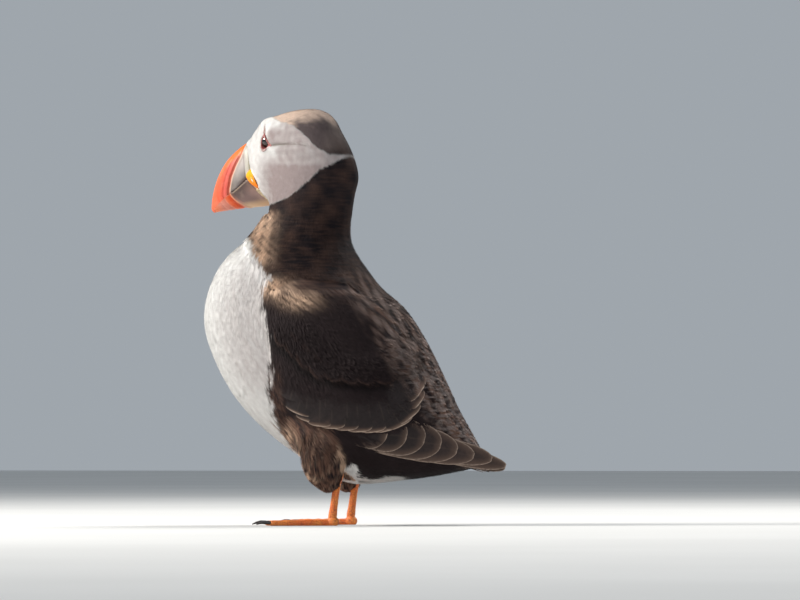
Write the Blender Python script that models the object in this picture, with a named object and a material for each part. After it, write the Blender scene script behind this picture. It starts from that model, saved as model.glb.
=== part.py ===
"""Atlantic puffin, a life-size standing model: upright, head turned a little to its right, wings folded.

Metres, +Z up. The bird faces -Y and its left side is +X. The origin is the bottom centre of its box.
"""

import math
from collections import namedtuple

import bmesh
import bpy
from mathutils import Matrix, Vector

NAME = "atlantic_puffin"
MM = 0.001
GAP = 0.3
SEGMENTS = 24
STEPS = 3

HEAD_TURN = math.radians(17.0)
NECK_AXIS_Y = -6.2
EYE_Y = -27.7
EYE_Z = 207.4
EYE_RADIUS = 4.7
EYE_DEPTH = 11.3
FOOT_SPREAD = 21.0
TOE_JOINT_Y = 9.0
ANKLE_Y = 12.5
ANKLE_Z = 28.0
TOE_RADIUS = 1.9
WEB_THICKNESS = 0.9
FOOT_TOE_OUT = math.radians(8.0)

# Dorsal point, ventral point (y, z), half width, fullness below the middle, share of the head's turn.
Section = namedtuple("Section", "dy dz vy vz half full turn")
BODY = {
    "tail_root": Section(88.0, 37.5, 80.0, 30.0, 8.0, 0.0, 0.0),
    "rump": Section(81.5, 49.0, 48.0, 24.5, 20.0, 0.0, 0.0),
    "vent": Section(74.0, 62.5, 12.0, 23.0, 30.0, 0.04, 0.0),
    "belly": Section(66.2, 79.5, -24.0, 42.5, 35.5, 0.06, 0.0),
    "keel": Section(56.5, 98.8, -50.5, 68.0, 38.0, 0.06, 0.0),
    "breast": Section(45.5, 115.5, -66.0, 98.5, 38.0, 0.04, 0.0),
    "shoulder": Section(31.5, 130.2, -67.5, 120.0, 35.5, 0.0, 0.0),
    "crop": Section(20.5, 142.6, -59.5, 140.5, 31.0, -0.04, 0.0),
    "neck_base": Section(14.2, 155.0, -48.0, 152.5, 25.0, -0.05, 0.15),
    "neck": Section(16.0, 174.0, -39.0, 161.0, 21.5, -0.06, 0.5),
    "nape": Section(18.8, 191.5, -34.6, 166.8, 20.6, -0.03, 0.85),
    "occiput": Section(14.0, 206.5, -33.2, 168.9, 19.6, 0.0, 1.0),
    "crown_back": Section(2.0, 221.5, -32.8, 170.0, 19.0, 0.02, 1.0),
    "crown": Section(-14.0, 225.0, -32.6, 170.8, 18.4, 0.03, 1.0),
    "brow": Section(-30.0, 222.0, -32.4, 171.6, 17.2, 0.03, 1.0),
    "forehead": Section(-43.6, 214.0, -32.3, 172.3, 13.2, 0.04, 1.0),
    "bill_base": Section(-49.6, 207.1, -32.2, 173.2, 8.6, 0.06, 1.0),
}
BILL = {
    "base": Section(-49.6, 207.1, -32.2, 173.2, 7.4, 0.08, 1.0),
    "ridge": Section(-55.6, 203.7, -39.0, 172.7, 7.2, 0.08, 1.0),
    "middle": Section(-61.4, 198.8, -46.3, 172.3, 6.4, 0.06, 1.0),
    "fore": Section(-66.0, 192.6, -53.2, 171.8, 5.3, 0.04, 1.0),
    "front": Section(-69.3, 185.6, -59.6, 171.2, 4.1, 0.0, 1.0),
    "nib": Section(-71.3, 178.4, -65.2, 170.7, 2.8, 0.0, 1.0),
    "tip": Section(-72.0, 172.6, -70.3, 170.0, 1.1, 0.0, 1.0),
}
MOUTH_LINE = (
    (-30.0, 195.0), (-44.6, 187.6), (-51.6, 182.8), (-56.4, 180.0), (-63.0, 175.9), (-68.0, 172.4), (-69.5, 167.0),
)

WING_OUTLINE = (
    (-24.0, 129.0), (-26.5, 117.7), (-22.5, 102.6), (-20.0, 84.8), (-18.0, 69.0), (-6.0, 57.0), (16.0, 50.5),
    (43.0, 50.0), (56.0, 64.0), (57.5, 78.0), (49.0, 98.0), (35.0, 117.0), (16.0, 133.0), (-8.0, 137.0),
)
WING_CENTRE = (14.0, 92.0)
WING_THICKNESS = 6.0
WING_EDGE = 1.6

# Flight feathers of the folded wing: y, top z, bottom z, how far out, half thickness.
Blade = namedtuple("Blade", "y top bottom out half")
PRIMARIES = {
    "root": Blade(18.0, 62.0, 46.5, 38.0, 2.2),
    "wrist": Blade(34.0, 63.0, 41.0, 35.5, 2.2),
    "mid": Blade(54.0, 57.5, 34.5, 29.0, 2.0),
    "fore": Blade(74.0, 48.5, 29.5, 20.0, 1.7),
    "end": Blade(88.5, 39.5, 28.3, 14.0, 1.4),
    "tip": Blade(98.0, 33.2, 28.6, 11.5, 0.8),
}
TAIL = {
    "root": Blade(70.0, 40.0, 31.0, 11.0, 0.0),
    "middle": Blade(84.0, 36.5, 30.0, 12.5, 0.0),
    "tip": Blade(95.5, 32.5, 29.5, 10.5, 0.0),
}

# The feathered upper leg, from the flank to the ankle: x, y, z, radius.
THIGH = (
    (19.0, 10.0, 58.0, 12.0), (20.5, 8.0, 50.0, 15.0), (22.0, 6.0, 41.0, 15.5), (22.5, 5.2, 33.0, 13.4),
    (22.0, 6.4, 26.5, 10.0), (21.4, 8.6, 21.5, 6.4), (21.1, 10.2, 18.6, 3.9),
)
# Toe name: angle outward from the foot's line, length to the claw.
TOES = {"inner": (-26.0, 28.0), "middle": (0.0, 36.0), "outer": (22.0, 35.0)}
CLAW_LENGTH = 7.0

DARK = (0.030, 0.024, 0.022)
GREY = (0.42, 0.37, 0.33)
WHITE = (0.80, 0.78, 0.74)
ORANGE = (0.85, 0.22, 0.04)
SLATE = (0.22, 0.22, 0.24)
YELLOW = (0.90, 0.45, 0.05)


# ---------------------------------------------------------------- scene

def clear_scene():
    for obj in list(bpy.data.objects):
        bpy.data.objects.remove(obj, do_unlink=True)


def new_collection(name):
    collection = bpy.data.collections.new(name)
    bpy.context.scene.collection.children.link(collection)
    return collection


def material(name, colour, roughness):
    made = bpy.data.materials.new(name)
    made.use_nodes = True
    shader = made.node_tree.nodes["Principled BSDF"]
    shader.inputs["Base Color"].default_value = (*colour, 1.0)
    shader.inputs["Roughness"].default_value = roughness
    shader.inputs["Metallic"].default_value = 0.0
    return made


def add_object(name, bm, collection, colour=None, roughness=0.7):
    """One closed mesh, given in millimetres, as an object in metres."""
    bm.normal_update()
    bmesh.ops.recalc_face_normals(bm, faces=bm.faces)
    if bm.calc_volume(signed=True) < 0:
        bmesh.ops.reverse_faces(bm, faces=bm.faces)
    bmesh.ops.scale(bm, vec=(MM, MM, MM), verts=bm.verts)
    mesh = bpy.data.meshes.new(name)
    bm.to_mesh(mesh)
    bm.free()
    obj = bpy.data.objects.new(name, mesh)
    collection.objects.link(obj)
    if colour:
        mesh.materials.append(material(name, colour, roughness))
    return obj


def add_cutter(name, bm, swell=0.0):
    obj = add_object(name, bm, CUTTERS)
    obj.hide_render = True
    obj.display_type = "WIRE"
    if swell:
        grow = obj.modifiers.new("swell", "DISPLACE")
        grow.mid_level = 0.0
        grow.strength = swell * MM
    return obj


def cut(obj, *cutters):
    for cutter in cutters:
        boolean = obj.modifiers.new("less_" + cutter.name, "BOOLEAN")
        boolean.operation = "DIFFERENCE"
        boolean.solver = "EXACT"
        boolean.object = cutter


def join(obj, *others):
    for other in others:
        boolean = obj.modifiers.new("with_" + other.name, "BOOLEAN")
        boolean.operation = "UNION"
        boolean.solver = "EXACT"
        boolean.object = other


# ---------------------------------------------------------------- curves and lofts

def catmull(a, b, c, d, t):
    """The curve through b and c at t, for numbers."""
    return 0.5 * (2 * b + (c - a) * t + (2 * a - 5 * b + 4 * c - d) * t * t + (3 * b - a - 3 * c + d) * t ** 3)


def between(rows, at):
    """The row at a fractional index, on a smooth curve through all rows."""
    last = len(rows) - 1
    i = min(int(at), last - 1)
    picked = [rows[max(0, min(last, i + k))] for k in (-1, 0, 1, 2)]
    return tuple(catmull(*values, at - i) for values in zip(*picked))


def turned(x, y, z, share):
    """The point turned about the neck's axis with the head."""
    angle = -HEAD_TURN * share
    y -= NECK_AXIS_Y
    return (
        x * math.cos(angle) - y * math.sin(angle),
        x * math.sin(angle) + y * math.cos(angle) + NECK_AXIS_Y,
        z,
    )


def ring(row, count, inset=0.0):
    """One flat section of the body or bill, round from its dorsal point by the left side."""
    s = Section(*row)
    middle = Vector((0.0, (s.dy + s.vy) / 2, (s.dz + s.vz) / 2))
    up = Vector((0.0, (s.dy - s.vy) / 2, (s.dz - s.vz) / 2))
    points = []
    for i in range(count):
        angle = 2 * math.pi * i / count
        c = math.cos(angle)
        side = (s.half - inset) * math.sin(angle) * (1.0 - s.full * c)
        p = middle + up * (c * (1.0 - inset / up.length))
        points.append(turned(side, p.y, p.z, s.turn))
    return points


def skin_rings(rings):
    """Closes a row of rings of equal length into a solid."""
    bm = bmesh.new()
    rows = [[bm.verts.new(p) for p in points] for points in rings]
    for lower, upper in zip(rows, rows[1:]):
        for i in range(len(lower)):
            j = (i + 1) % len(lower)
            bm.faces.new((lower[i], lower[j], upper[j], upper[i]))
    bm.faces.new(rows[0])
    bm.faces.new(rows[-1])
    return bm


def moved(points, offset):
    return [tuple(Vector(p) + offset) for p in points]


def ring_normal(points):
    """Unit normal of a ring's plane, towards the head."""
    a, b, c = (Vector(points[k]) for k in (0, len(points) // 4, len(points) // 2))
    return (a - c).cross(b - c).normalized()


def loft(table, first, last, count=SEGMENTS, steps=STEPS, shut_first=True, shut_last=True):
    """The part of a table of sections from one name to another, drawn back half a gap at open ends."""
    names = list(table)
    rows = [tuple(table[name]) for name in names]
    start, stop = names.index(first), names.index(last)
    places = [start + i / steps for i in range((stop - start) * steps + 1)]
    rings = [ring(between(rows, place), count) for place in places]
    forward = ring_normal(rings[0])
    if (Vector(rings[1][0]) - Vector(rings[0][0])).dot(forward) < 0:
        forward = -forward
    if not shut_first:
        rings[0] = moved(rings[0], forward * GAP / 2)
    if not shut_last:
        back = ring_normal(rings[-1])
        if (Vector(rings[-1][0]) - Vector(rings[-2][0])).dot(back) > 0:
            back = -back
        rings[-1] = moved(rings[-1], back * GAP / 2)
    return skin_rings(rings)


def flank(y, z):
    """How far out the body's side is at a point of the side view, or 0 outside it."""
    rows = [tuple(section) for section in BODY.values()]
    best = None
    before = None
    for k in range((len(rows) - 1) * 8 + 1):
        s = Section(*between(rows, k / 8))
        uy, uz = s.dy - s.vy, s.dz - s.vz
        side = uy * (z - s.vz) - uz * (y - s.vy)
        length = math.hypot(uy, uz)
        c = 2 * ((y - s.vy) * uy + (z - s.vz) * uz) / length ** 2 - 1
        out = s.half * math.sqrt(max(0.0, 1 - c * c)) * (1 - s.full * c)
        if before and before[0] * side <= 0:
            share = before[0] / (before[0] - side) if before[0] != side else 0.5
            best = before[1] + (out - before[1]) * share
            break
        before = (side, out)
    return best or 0.0


# ---------------------------------------------------------------- small shapes

def ellipsoid(centre, radii, tilt=0.0, taper=0.0, segments=14, rings=9):
    """Flattened ball in the head's frame: x out, y back, z up, tilted about x and narrower upward by taper."""
    bm = bmesh.new()
    bmesh.ops.create_uvsphere(bm, u_segments=segments, v_segments=rings, radius=1.0)
    turn = Matrix.Rotation(tilt, 3, "X")
    for vert in bm.verts:
        x, y, z = vert.co
        p = turn @ Vector((x * radii[0], y * radii[1] * (1 - taper * z), z * radii[2]))
        vert.co = p + Vector(centre)
    return bm


def turn_with_head(bm):
    for vert in bm.verts:
        vert.co = turned(*vert.co, 1.0)
    return bm


def flip_side(bm, side):
    for vert in bm.verts:
        vert.co.x *= side
    return bm


def tube(points, radii, count=10):
    """A tapering tube along points, its rings square to the line."""
    path = [Vector(p) for p in points]
    rings = []
    for i, (p, r) in enumerate(zip(path, radii)):
        ahead = (path[min(i + 1, len(path) - 1)] - path[max(i - 1, 0)]).normalized()
        across = (Vector((1, 0, 0)) - ahead * ahead.x).normalized()
        up = across.cross(ahead)
        ring_points = []
        for k in range(count):
            angle = 2 * math.pi * (k + 0.3) / count
            ring_points.append(tuple(p + (across * math.cos(angle) + up * math.sin(angle)) * r))
        rings.append(ring_points)
    return skin_rings(rings)


def prism(outline, low, high):
    """A (y, z) outline carried from x = low to x = high."""
    bm = bmesh.new()
    ends = [[bm.verts.new((x, y, z)) for y, z in outline] for x in (low, high)]
    for i in range(len(outline)):
        j = (i + 1) % len(outline)
        bm.faces.new((ends[0][i], ends[0][j], ends[1][j], ends[1][i]))
    bm.faces.new(ends[0])
    bm.faces.new(ends[1])
    return bm


# ---------------------------------------------------------------- head

def mouth_prism(name, upward):
    """Everything on one side of the mouth line, reaching half a gap past it."""
    shift = -GAP / 2 if upward else GAP / 2
    line = []
    for i, (y, z) in enumerate(MOUTH_LINE):
        before, after = MOUTH_LINE[max(i - 1, 0)], MOUTH_LINE[min(i + 1, len(MOUTH_LINE) - 1)]
        ahead = Vector((after[0] - before[0], after[1] - before[1])).normalized()
        line.append((y + ahead.y * shift, z - ahead.x * shift))
    reach = 80.0 if upward else -80.0
    far = [(line[-1][0], line[-1][1] + reach), (line[0][0], line[0][1] + reach)]
    if upward:
        far = [(line[-1][0] - 12.0, line[-1][1]), (line[-1][0] - 12.0, line[-1][1] + reach), far[1]]
    return add_cutter(name, turn_with_head(prism(line + far, -25.0, 25.0)))


def paired_head_part(name, centre, radii, colour, **shape):
    """One part on each side of the head, and its two swollen cutters."""
    cutters = []
    for side, word in ((1, "left"), (-1, "right")):
        for make_cutter in (False, True):
            bm = ellipsoid(centre, radii, **shape)
            bm = turn_with_head(flip_side(bm, side))
            if make_cutter:
                cutters.append(add_cutter(f"cut_{name}_{word}", bm, GAP))
            else:
                add_object(f"{name}_{word}", bm, PARTS, colour, 0.4)
    return cutters


def eye_dishes():
    made = []
    for side, word in ((1, "left"), (-1, "right")):
        bm = ellipsoid((16.2, EYE_Y - 0.2, EYE_Z), (2.3, 4.6, 4.5), segments=12, rings=6)
        made.append(add_cutter(f"cut_dish_{word}", turn_with_head(flip_side(bm, side))))
    return made


def build_head():
    head = add_object("head", loft(BODY, "nape", "bill_base", shut_first=False, shut_last=False), PARTS, WHITE)
    upper = add_object("bill_upper", loft(BILL, "base", "tip", 16, 2, shut_first=False), PARTS, ORANGE, 0.4)
    lower = add_object("bill_lower", loft(BILL, "base", "tip", 16, 2, shut_first=False), PARTS, ORANGE, 0.4)
    cut(upper, mouth_prism("cut_below_mouth", False))
    cut(lower, mouth_prism("cut_above_mouth", True))
    eyes = paired_head_part("eye", (EYE_DEPTH, EYE_Y, EYE_Z), (EYE_RADIUS,) * 3, DARK)
    rosettes = paired_head_part(
        "rosette", (9.3, EYE_Y - 9.6, EYE_Z - 19.4), (2.7, 4.3, 5.0), YELLOW, tilt=math.radians(-20.0), segments=12, rings=7
    )
    above = paired_head_part(
        "eye_plate_upper", (12.3, EYE_Y - 0.4, EYE_Z + 7.5), (1.5, 1.7, 2.2), SLATE, taper=0.6, segments=8, rings=5
    )
    below = paired_head_part(
        "eye_plate_lower", (16.0, EYE_Y + 0.2, EYE_Z - 6.0), (1.4, 3.0, 1.0), SLATE, segments=8, rings=5
    )
    cut(head, *eye_dishes(), *eyes, *rosettes, *above, *below)
    cut(upper, *rosettes)
    cut(lower, *rosettes)


# ---------------------------------------------------------------- wings and tail

def closed_outline(points, per_side):
    """A smooth closed curve through the points."""
    made = []
    n = len(points)
    for i in range(n):
        four = [points[(i + k) % n] for k in (-1, 0, 1, 2)]
        for step in range(per_side):
            made.append(tuple(catmull(*values, step / per_side) for values in zip(*four)))
    return made


def wing_mesh(side):
    """The folded arm and its coverts: a pad on the flank, thin at its edges."""
    rim = closed_outline(WING_OUTLINE, 2)
    shares = (1.0, 0.93, 0.78, 0.55, 0.28)
    outer, inner = [], []
    for share in shares:
        swell = WING_EDGE + (WING_THICKNESS - WING_EDGE) * (1 - share ** 3) ** 0.6
        places = [tuple(c + (p - c) * share for p, c in zip(point, WING_CENTRE)) for point in rim]
        outer.append([(flank(y, z) + swell, y, z) for y, z in places])
        inner.append([(max(flank(y, z) - 3.0, 2.0), y, z) for y, z in places])
    bm = skin_rings(inner[::-1] + outer)
    return flip_side(bm, side)


def blade_rings(table, steps, count):
    rows = [tuple(row) for row in table.values()]
    for k in range((len(rows) - 1) * steps + 1):
        b = Blade(*between(rows, k / steps))
        middle, tall = (b.top + b.bottom) / 2, (b.top - b.bottom) / 2
        points = []
        for i in range(count):
            angle = 2 * math.pi * i / count
            lean = 0.22 * tall * math.sin(angle)
            points.append((b.out - lean + b.half * math.cos(angle), b.y, middle + tall * math.sin(angle)))
        yield points


def primaries_mesh(side):
    return flip_side(skin_rings(list(blade_rings(PRIMARIES, 2, 16))), side)


def tail_mesh():
    rings = []
    rows = [tuple(row) for row in TAIL.values()]
    for k in range((len(rows) - 1) * 3 + 1):
        b = Blade(*between(rows, k / 3))
        middle, tall = (b.top + b.bottom) / 2, (b.top - b.bottom) / 2
        points = []
        for i in range(20):
            angle = 2 * math.pi * i / 20
            x = b.out * math.cos(angle)
            droop = 0.012 * x * x
            points.append((x, b.y + 0.010 * x * x * -1, middle - droop + tall * math.sin(angle)))
        rings.append(points)
    return skin_rings(rings)


def build_wings_and_tail(trunk_cutter):
    blades = []
    for side, word in ((1, "left"), (-1, "right")):
        wing = add_object(f"wing_{word}", wing_mesh(side), PARTS, DARK)
        wing_cutter = add_cutter(f"cut_wing_{word}", wing_mesh(side), GAP)
        cut(wing, trunk_cutter)
        blade = add_object(f"primaries_{word}", primaries_mesh(side), PARTS, DARK)
        cut(blade, trunk_cutter, wing_cutter)
        blades.append(add_cutter(f"cut_primaries_{word}", primaries_mesh(side), GAP))
    tail = add_object("tail", tail_mesh(), PARTS, DARK)
    cut(tail, trunk_cutter, *blades)


# ---------------------------------------------------------------- legs

def leg_frame(point, side):
    """A foot's point: x out from its middle toe's line, y back from the toe joint, turned toe-out."""
    x, y, z = point
    angle = FOOT_TOE_OUT
    return (
        side * (FOOT_SPREAD + x * math.cos(angle) - y * math.sin(angle)),
        TOE_JOINT_Y + x * math.sin(angle) + y * math.cos(angle),
        z,
    )


def toe_line(name, shares, lift=0.0):
    angle, length = TOES[name]
    out = math.radians(angle)
    return [(math.sin(out) * length * s, -math.cos(out) * length * s, TOE_RADIUS * 0.75 + lift) for s in shares]


def toe_mesh(name, side):
    start = {"inner": 0.03, "middle": -0.02, "outer": 0.05}[name]
    shares = (start, 0.12, 0.28, 0.36, 0.44, 0.6, 0.68, 0.76, 0.9, 1.0)
    plump = (0.96 + start, 1.0, 0.84, 1.02, 0.84, 0.76, 0.92, 0.76, 0.72, 0.6)
    points = [leg_frame(p, side) for p in toe_line(name, shares)]
    return tube(points, [TOE_RADIUS * p for p in plump], 8)


def web_mesh(side):
    """The skin between the toes, its front edges drawn back a little."""
    tips = [toe_line(name, (0.97,))[0] for name in TOES]
    outline = [(0.0, 1.0)]
    for i, tip in enumerate(tips):
        outline.append(tip[:2])
        if i < 2:
            following = tips[i + 1]
            for share in (0.25, 0.5, 0.75):
                pull = 1 - 0.42 * share * (1 - share)
                outline.append(tuple((a + (b - a) * share) * pull for a, b in zip(tip[:2], following[:2])))
    bm = bmesh.new()
    levels = []
    for z in (-1.0, WEB_THICKNESS):
        levels.append([bm.verts.new(leg_frame((x, y, z), side)) for x, y in outline])
    for i in range(len(outline)):
        j = (i + 1) % len(outline)
        bm.faces.new((levels[0][i], levels[0][j], levels[1][j], levels[1][i]))
    bm.faces.new(levels[0])
    bm.faces.new(levels[1])
    return bm


def shank_points(side):
    foot = Vector(leg_frame((0.0, 0.0, 0.0), side))
    ankle = Vector((side * FOOT_SPREAD, ANKLE_Y, ANKLE_Z))
    return foot, ankle


def shank_mesh(side):
    foot, ankle = shank_points(side)
    foot.z = 2.6
    shares = (0.0, 0.12, 0.3, 0.55, 0.8, 0.92, 1.0, 1.12)
    radii = (2.0, 2.3, 2.0, 1.9, 2.2, 2.9, 3.0, 2.2)
    return tube([foot.lerp(ankle, s) for s in shares], radii, 12)


def floor_box():
    bm = bmesh.new()
    bmesh.ops.create_cube(bm, size=1.0)
    for vert in bm.verts:
        vert.co = Vector((vert.co.x * 140.0, vert.co.y * 140.0, vert.co.z * 10.0 - 5.0))
    return bm


def claw_mesh(name, side):
    """A curved claw, held just clear of the floor."""
    angle, length = TOES[name]
    out = math.radians(angle)
    points = []
    radii = []
    for share, thick, lift in ((-0.12, 0.9, 1.6), (0.0, 1.1, 1.7), (0.35, 0.95, 1.9), (0.7, 0.62, 1.5), (1.0, 0.24, 0.75)):
        reach = length + CLAW_LENGTH * share
        points.append(leg_frame((math.sin(out) * reach, -math.cos(out) * reach, lift), side))
        radii.append(thick)
    return tube(points, radii, 6)


def thigh_mesh(side):
    """The feathered upper leg, from the flank down to the ankle."""
    line = [(side * x, y, z) for x, y, z, _ in THIGH]
    return tube(line, [row[3] for row in THIGH], 16)


def build_legs(trunk_cutter):
    floor = add_cutter("cut_floor", floor_box())
    for side, word in ((1, "left"), (-1, "right")):
        foot = add_object(f"foot_{word}", toe_mesh("middle", side), PARTS, ORANGE, 0.5)
        pieces = [add_cutter(f"join_{name}_{word}", toe_mesh(name, side)) for name in ("inner", "outer")]
        pieces.append(add_cutter(f"join_web_{word}", web_mesh(side)))
        ball = ellipsoid(leg_frame((0.0, 0.6, 2.0), side), (3.3, 3.4, 2.7), segments=12, rings=8)
        pieces.append(add_cutter(f"join_ball_{word}", ball))
        join(foot, *pieces)
        shank = add_object(f"shank_{word}", shank_mesh(side), PARTS, ORANGE, 0.5)
        cut(shank, trunk_cutter)
        cut(foot, floor, add_cutter(f"cut_shank_{word}", shank_mesh(side), GAP))
        thigh = add_object(f"thigh_{word}", thigh_mesh(side), PARTS, WHITE)
        beside = [CUTTERS.objects[f"cut_{part}_{word}"] for part in ("shank", "wing", "primaries")]
        cut(thigh, trunk_cutter, *beside)
        for name in TOES:
            claw = add_object(f"claw_{name}_{word}", claw_mesh(name, side), PARTS, DARK, 0.4)
            claw_cutter = add_cutter(f"cut_claw_{name}_{word}", claw_mesh(name, side), GAP)
            cut(foot, claw_cutter)


# ---------------------------------------------------------------- whole bird

def settle_on_origin():
    """Moves everything so that the origin is the bottom centre of the bird's box."""
    bpy.context.view_layer.update()
    graph = bpy.context.evaluated_depsgraph_get()
    corners = []
    for obj in PARTS.objects:
        shown = obj.evaluated_get(graph)
        mesh = shown.to_mesh()
        corners += [vert.co.copy() for vert in mesh.vertices]
        shown.to_mesh_clear()
    low = Vector([min(c[i] for c in corners) for i in range(3)])
    high = Vector([max(c[i] for c in corners) for i in range(3)])
    middle = (low + high) / 2
    offset = Matrix.Translation((-middle.x, -middle.y, -low.z))
    for obj in list(PARTS.objects) + list(CUTTERS.objects):
        obj.data.transform(offset)
    bpy.context.view_layer.update()


clear_scene()
PARTS = new_collection(NAME)
CUTTERS = new_collection("cutters")
add_object("trunk", loft(BODY, "tail_root", "crop", shut_last=False), PARTS, DARK)
add_object("neck", loft(BODY, "crop", "nape", shut_first=False, shut_last=False), PARTS, DARK)
TRUNK_CUTTER = add_cutter("cut_trunk", loft(BODY, "tail_root", "crop"), GAP)
build_head()
build_wings_and_tail(TRUNK_CUTTER)
build_legs(TRUNK_CUTTER)
settle_on_origin()
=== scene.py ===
"""Atlantic puffin, dressed: one skin under a coat of solid feathers, with bill, eyes, pads, claws and feet.

Lengths are millimetres in the part's own frame, before it is set down on its box: the bird faces -Y, its left
side is +X and +Z is up. Places on the head are (forward, up) from the eye in the head's own frame, and places
on the side of the body are (y, z).
"""

import math

import bpy
import numpy as np
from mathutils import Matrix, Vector
from mathutils.bvhtree import BVHTree
from mathutils.kdtree import KDTree


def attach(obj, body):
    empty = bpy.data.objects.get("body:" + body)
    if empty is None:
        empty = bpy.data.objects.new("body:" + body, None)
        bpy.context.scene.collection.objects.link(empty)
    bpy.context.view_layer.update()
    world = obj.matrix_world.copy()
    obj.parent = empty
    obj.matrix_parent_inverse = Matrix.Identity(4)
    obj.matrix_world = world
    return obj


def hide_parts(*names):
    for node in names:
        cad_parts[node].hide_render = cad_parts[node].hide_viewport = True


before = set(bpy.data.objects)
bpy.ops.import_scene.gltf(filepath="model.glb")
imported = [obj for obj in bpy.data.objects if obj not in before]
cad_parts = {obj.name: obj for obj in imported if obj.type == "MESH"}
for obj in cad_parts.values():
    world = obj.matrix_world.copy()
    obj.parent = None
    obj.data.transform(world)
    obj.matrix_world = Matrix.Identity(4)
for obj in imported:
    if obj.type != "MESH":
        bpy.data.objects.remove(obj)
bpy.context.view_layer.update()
RNG = np.random.default_rng(11)

MM = 0.001
SETTLE_Y = -14.4
HEAD_TURN = math.radians(17.0)
NECK_AXIS_Y = -6.2
EYE = np.array((11.3, -27.7, 207.4))
EYE_RADIUS = 4.7
SIDES = ((1, "left"), (-1, "right"))

# Sections: dorsal (y, z), ventral (y, z), half width, fullness below the middle, share of the head's turn.
BODY = np.array((
    (88.0, 37.5, 80.0, 30.0, 8.0, 0.0, 0.0),
    (81.5, 49.0, 48.0, 24.5, 20.0, 0.0, 0.0),
    (74.0, 62.5, 12.0, 23.0, 30.0, 0.04, 0.0),
    (66.2, 79.5, -24.0, 42.5, 35.5, 0.06, 0.0),
    (56.5, 98.8, -50.5, 68.0, 38.0, 0.06, 0.0),
    (45.5, 115.5, -66.0, 98.5, 38.0, 0.04, 0.0),
    (31.5, 130.2, -67.5, 120.0, 35.5, 0.0, 0.0),
    (20.5, 142.6, -59.5, 140.5, 31.0, -0.04, 0.0),
    (14.2, 155.0, -48.0, 152.5, 25.0, -0.05, 0.15),
    (16.0, 174.0, -39.0, 161.0, 21.5, -0.06, 0.5),
    (18.8, 191.5, -34.6, 166.8, 20.6, -0.03, 0.85),
    (14.0, 206.5, -33.2, 168.9, 19.6, 0.0, 1.0),
    (2.0, 221.5, -32.8, 170.0, 19.0, 0.02, 1.0),
    (-14.0, 225.0, -32.6, 170.8, 18.4, 0.03, 1.0),
    (-30.0, 222.0, -32.4, 171.6, 17.2, 0.03, 1.0),
    (-43.6, 214.0, -32.3, 172.3, 13.2, 0.04, 1.0),
    (-49.6, 207.1, -32.2, 173.2, 8.6, 0.06, 1.0),
))
BILL = np.array((
    (-46.8, 208.4, -26.2, 172.3, 7.3, 0.08, 1.0),
    (-49.6, 207.1, -32.2, 173.2, 7.4, 0.08, 1.0),
    (-55.1, 203.5, -39.0, 172.7, 7.2, 0.08, 1.0),
    (-60.7, 198.6, -46.3, 172.3, 6.4, 0.06, 1.0),
    (-65.2, 192.4, -53.2, 171.8, 5.3, 0.04, 1.0),
    (-68.4, 185.5, -59.4, 171.2, 4.1, 0.0, 1.0),
    (-70.4, 178.4, -64.8, 170.7, 2.8, 0.0, 1.0),
    (-71.2, 172.6, -69.7, 170.0, 1.1, 0.0, 1.0),
))

# Lower edges of the cap and of the white face, and the two folds behind and above the eye.
CAP_EDGE = np.array((
    (-45.0, -7.6), (-37.6, -7.6), (-30.2, -3.2), (-24.1, 2.7), (-15.8, 8.1), (-5.7, 10.8), (0.5, 13.0),
    (10.8, 16.7),
))
COLLAR_EDGE = np.array((
    (-44.3, -8.6), (-39.3, -13.0), (-34.3, -15.4), (-29.2, -21.1), (-23.2, -26.5), (-16.6, -30.8),
    (-4.9, -33.8), (22.0, -37.0),
))
CREASE = ((-4.4, -2.5), (-9.3, -2.1), (-15.5, -2.0), (-21.4, -2.2), (-27.0, -3.0))
APEX_FOLD = ((1.2, 4.6), (2.8, 6.6), (4.3, 9.0))
# Outer edge of the red ring round the eye, and the dark opening inside it.
EYE_OUTER = (
    (1.2, 4.5), (2.5, 2.4), (2.8, 0.0), (2.4, -2.6), (1.2, -4.6), (-0.4, -5.3), (-2.4, -4.2), (-4.4, -2.7),
    (-2.6, -0.6), (-0.8, 1.6),
)
EYE_INNER = (
    (0.9, 1.9), (1.7, 0.9), (2.0, -0.5), (1.7, -2.0), (0.9, -3.1), (-0.1, -3.5), (-1.0, -2.9), (-1.7, -1.9),
    (-1.2, -0.5), (-0.3, 0.9),
)
# Outlines of the pads at the corner of the mouth and of the horny plates by the eye.
ROSETTE_OUTLINE = (
    (16.6, -15.9), (14.9, -14.7), (12.4, -15.2), (9.4, -18.6), (6.9, -22.6), (6.9, -24.7), (9.6, -25.3),
    (13.9, -22.9), (16.6, -19.4), (17.3, -17.4),
)
GAPE_STRIP = ((10.6, -26.2), (8.6, -24.8), (4.6, -29.0), (0.4, -33.6), (2.2, -34.8), (6.6, -31.0))
UPPER_PLATE = ((1.0, 5.0), (2.0, 6.6), (3.8, 9.0), (3.2, 6.8), (2.6, 4.4), (1.8, 4.4))
LOWER_PLATE = ((2.2, -4.0), (0.5, -4.9), (-1.4, -4.7), (-3.0, -3.9), (-1.6, -5.5), (0.6, -5.9))

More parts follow.
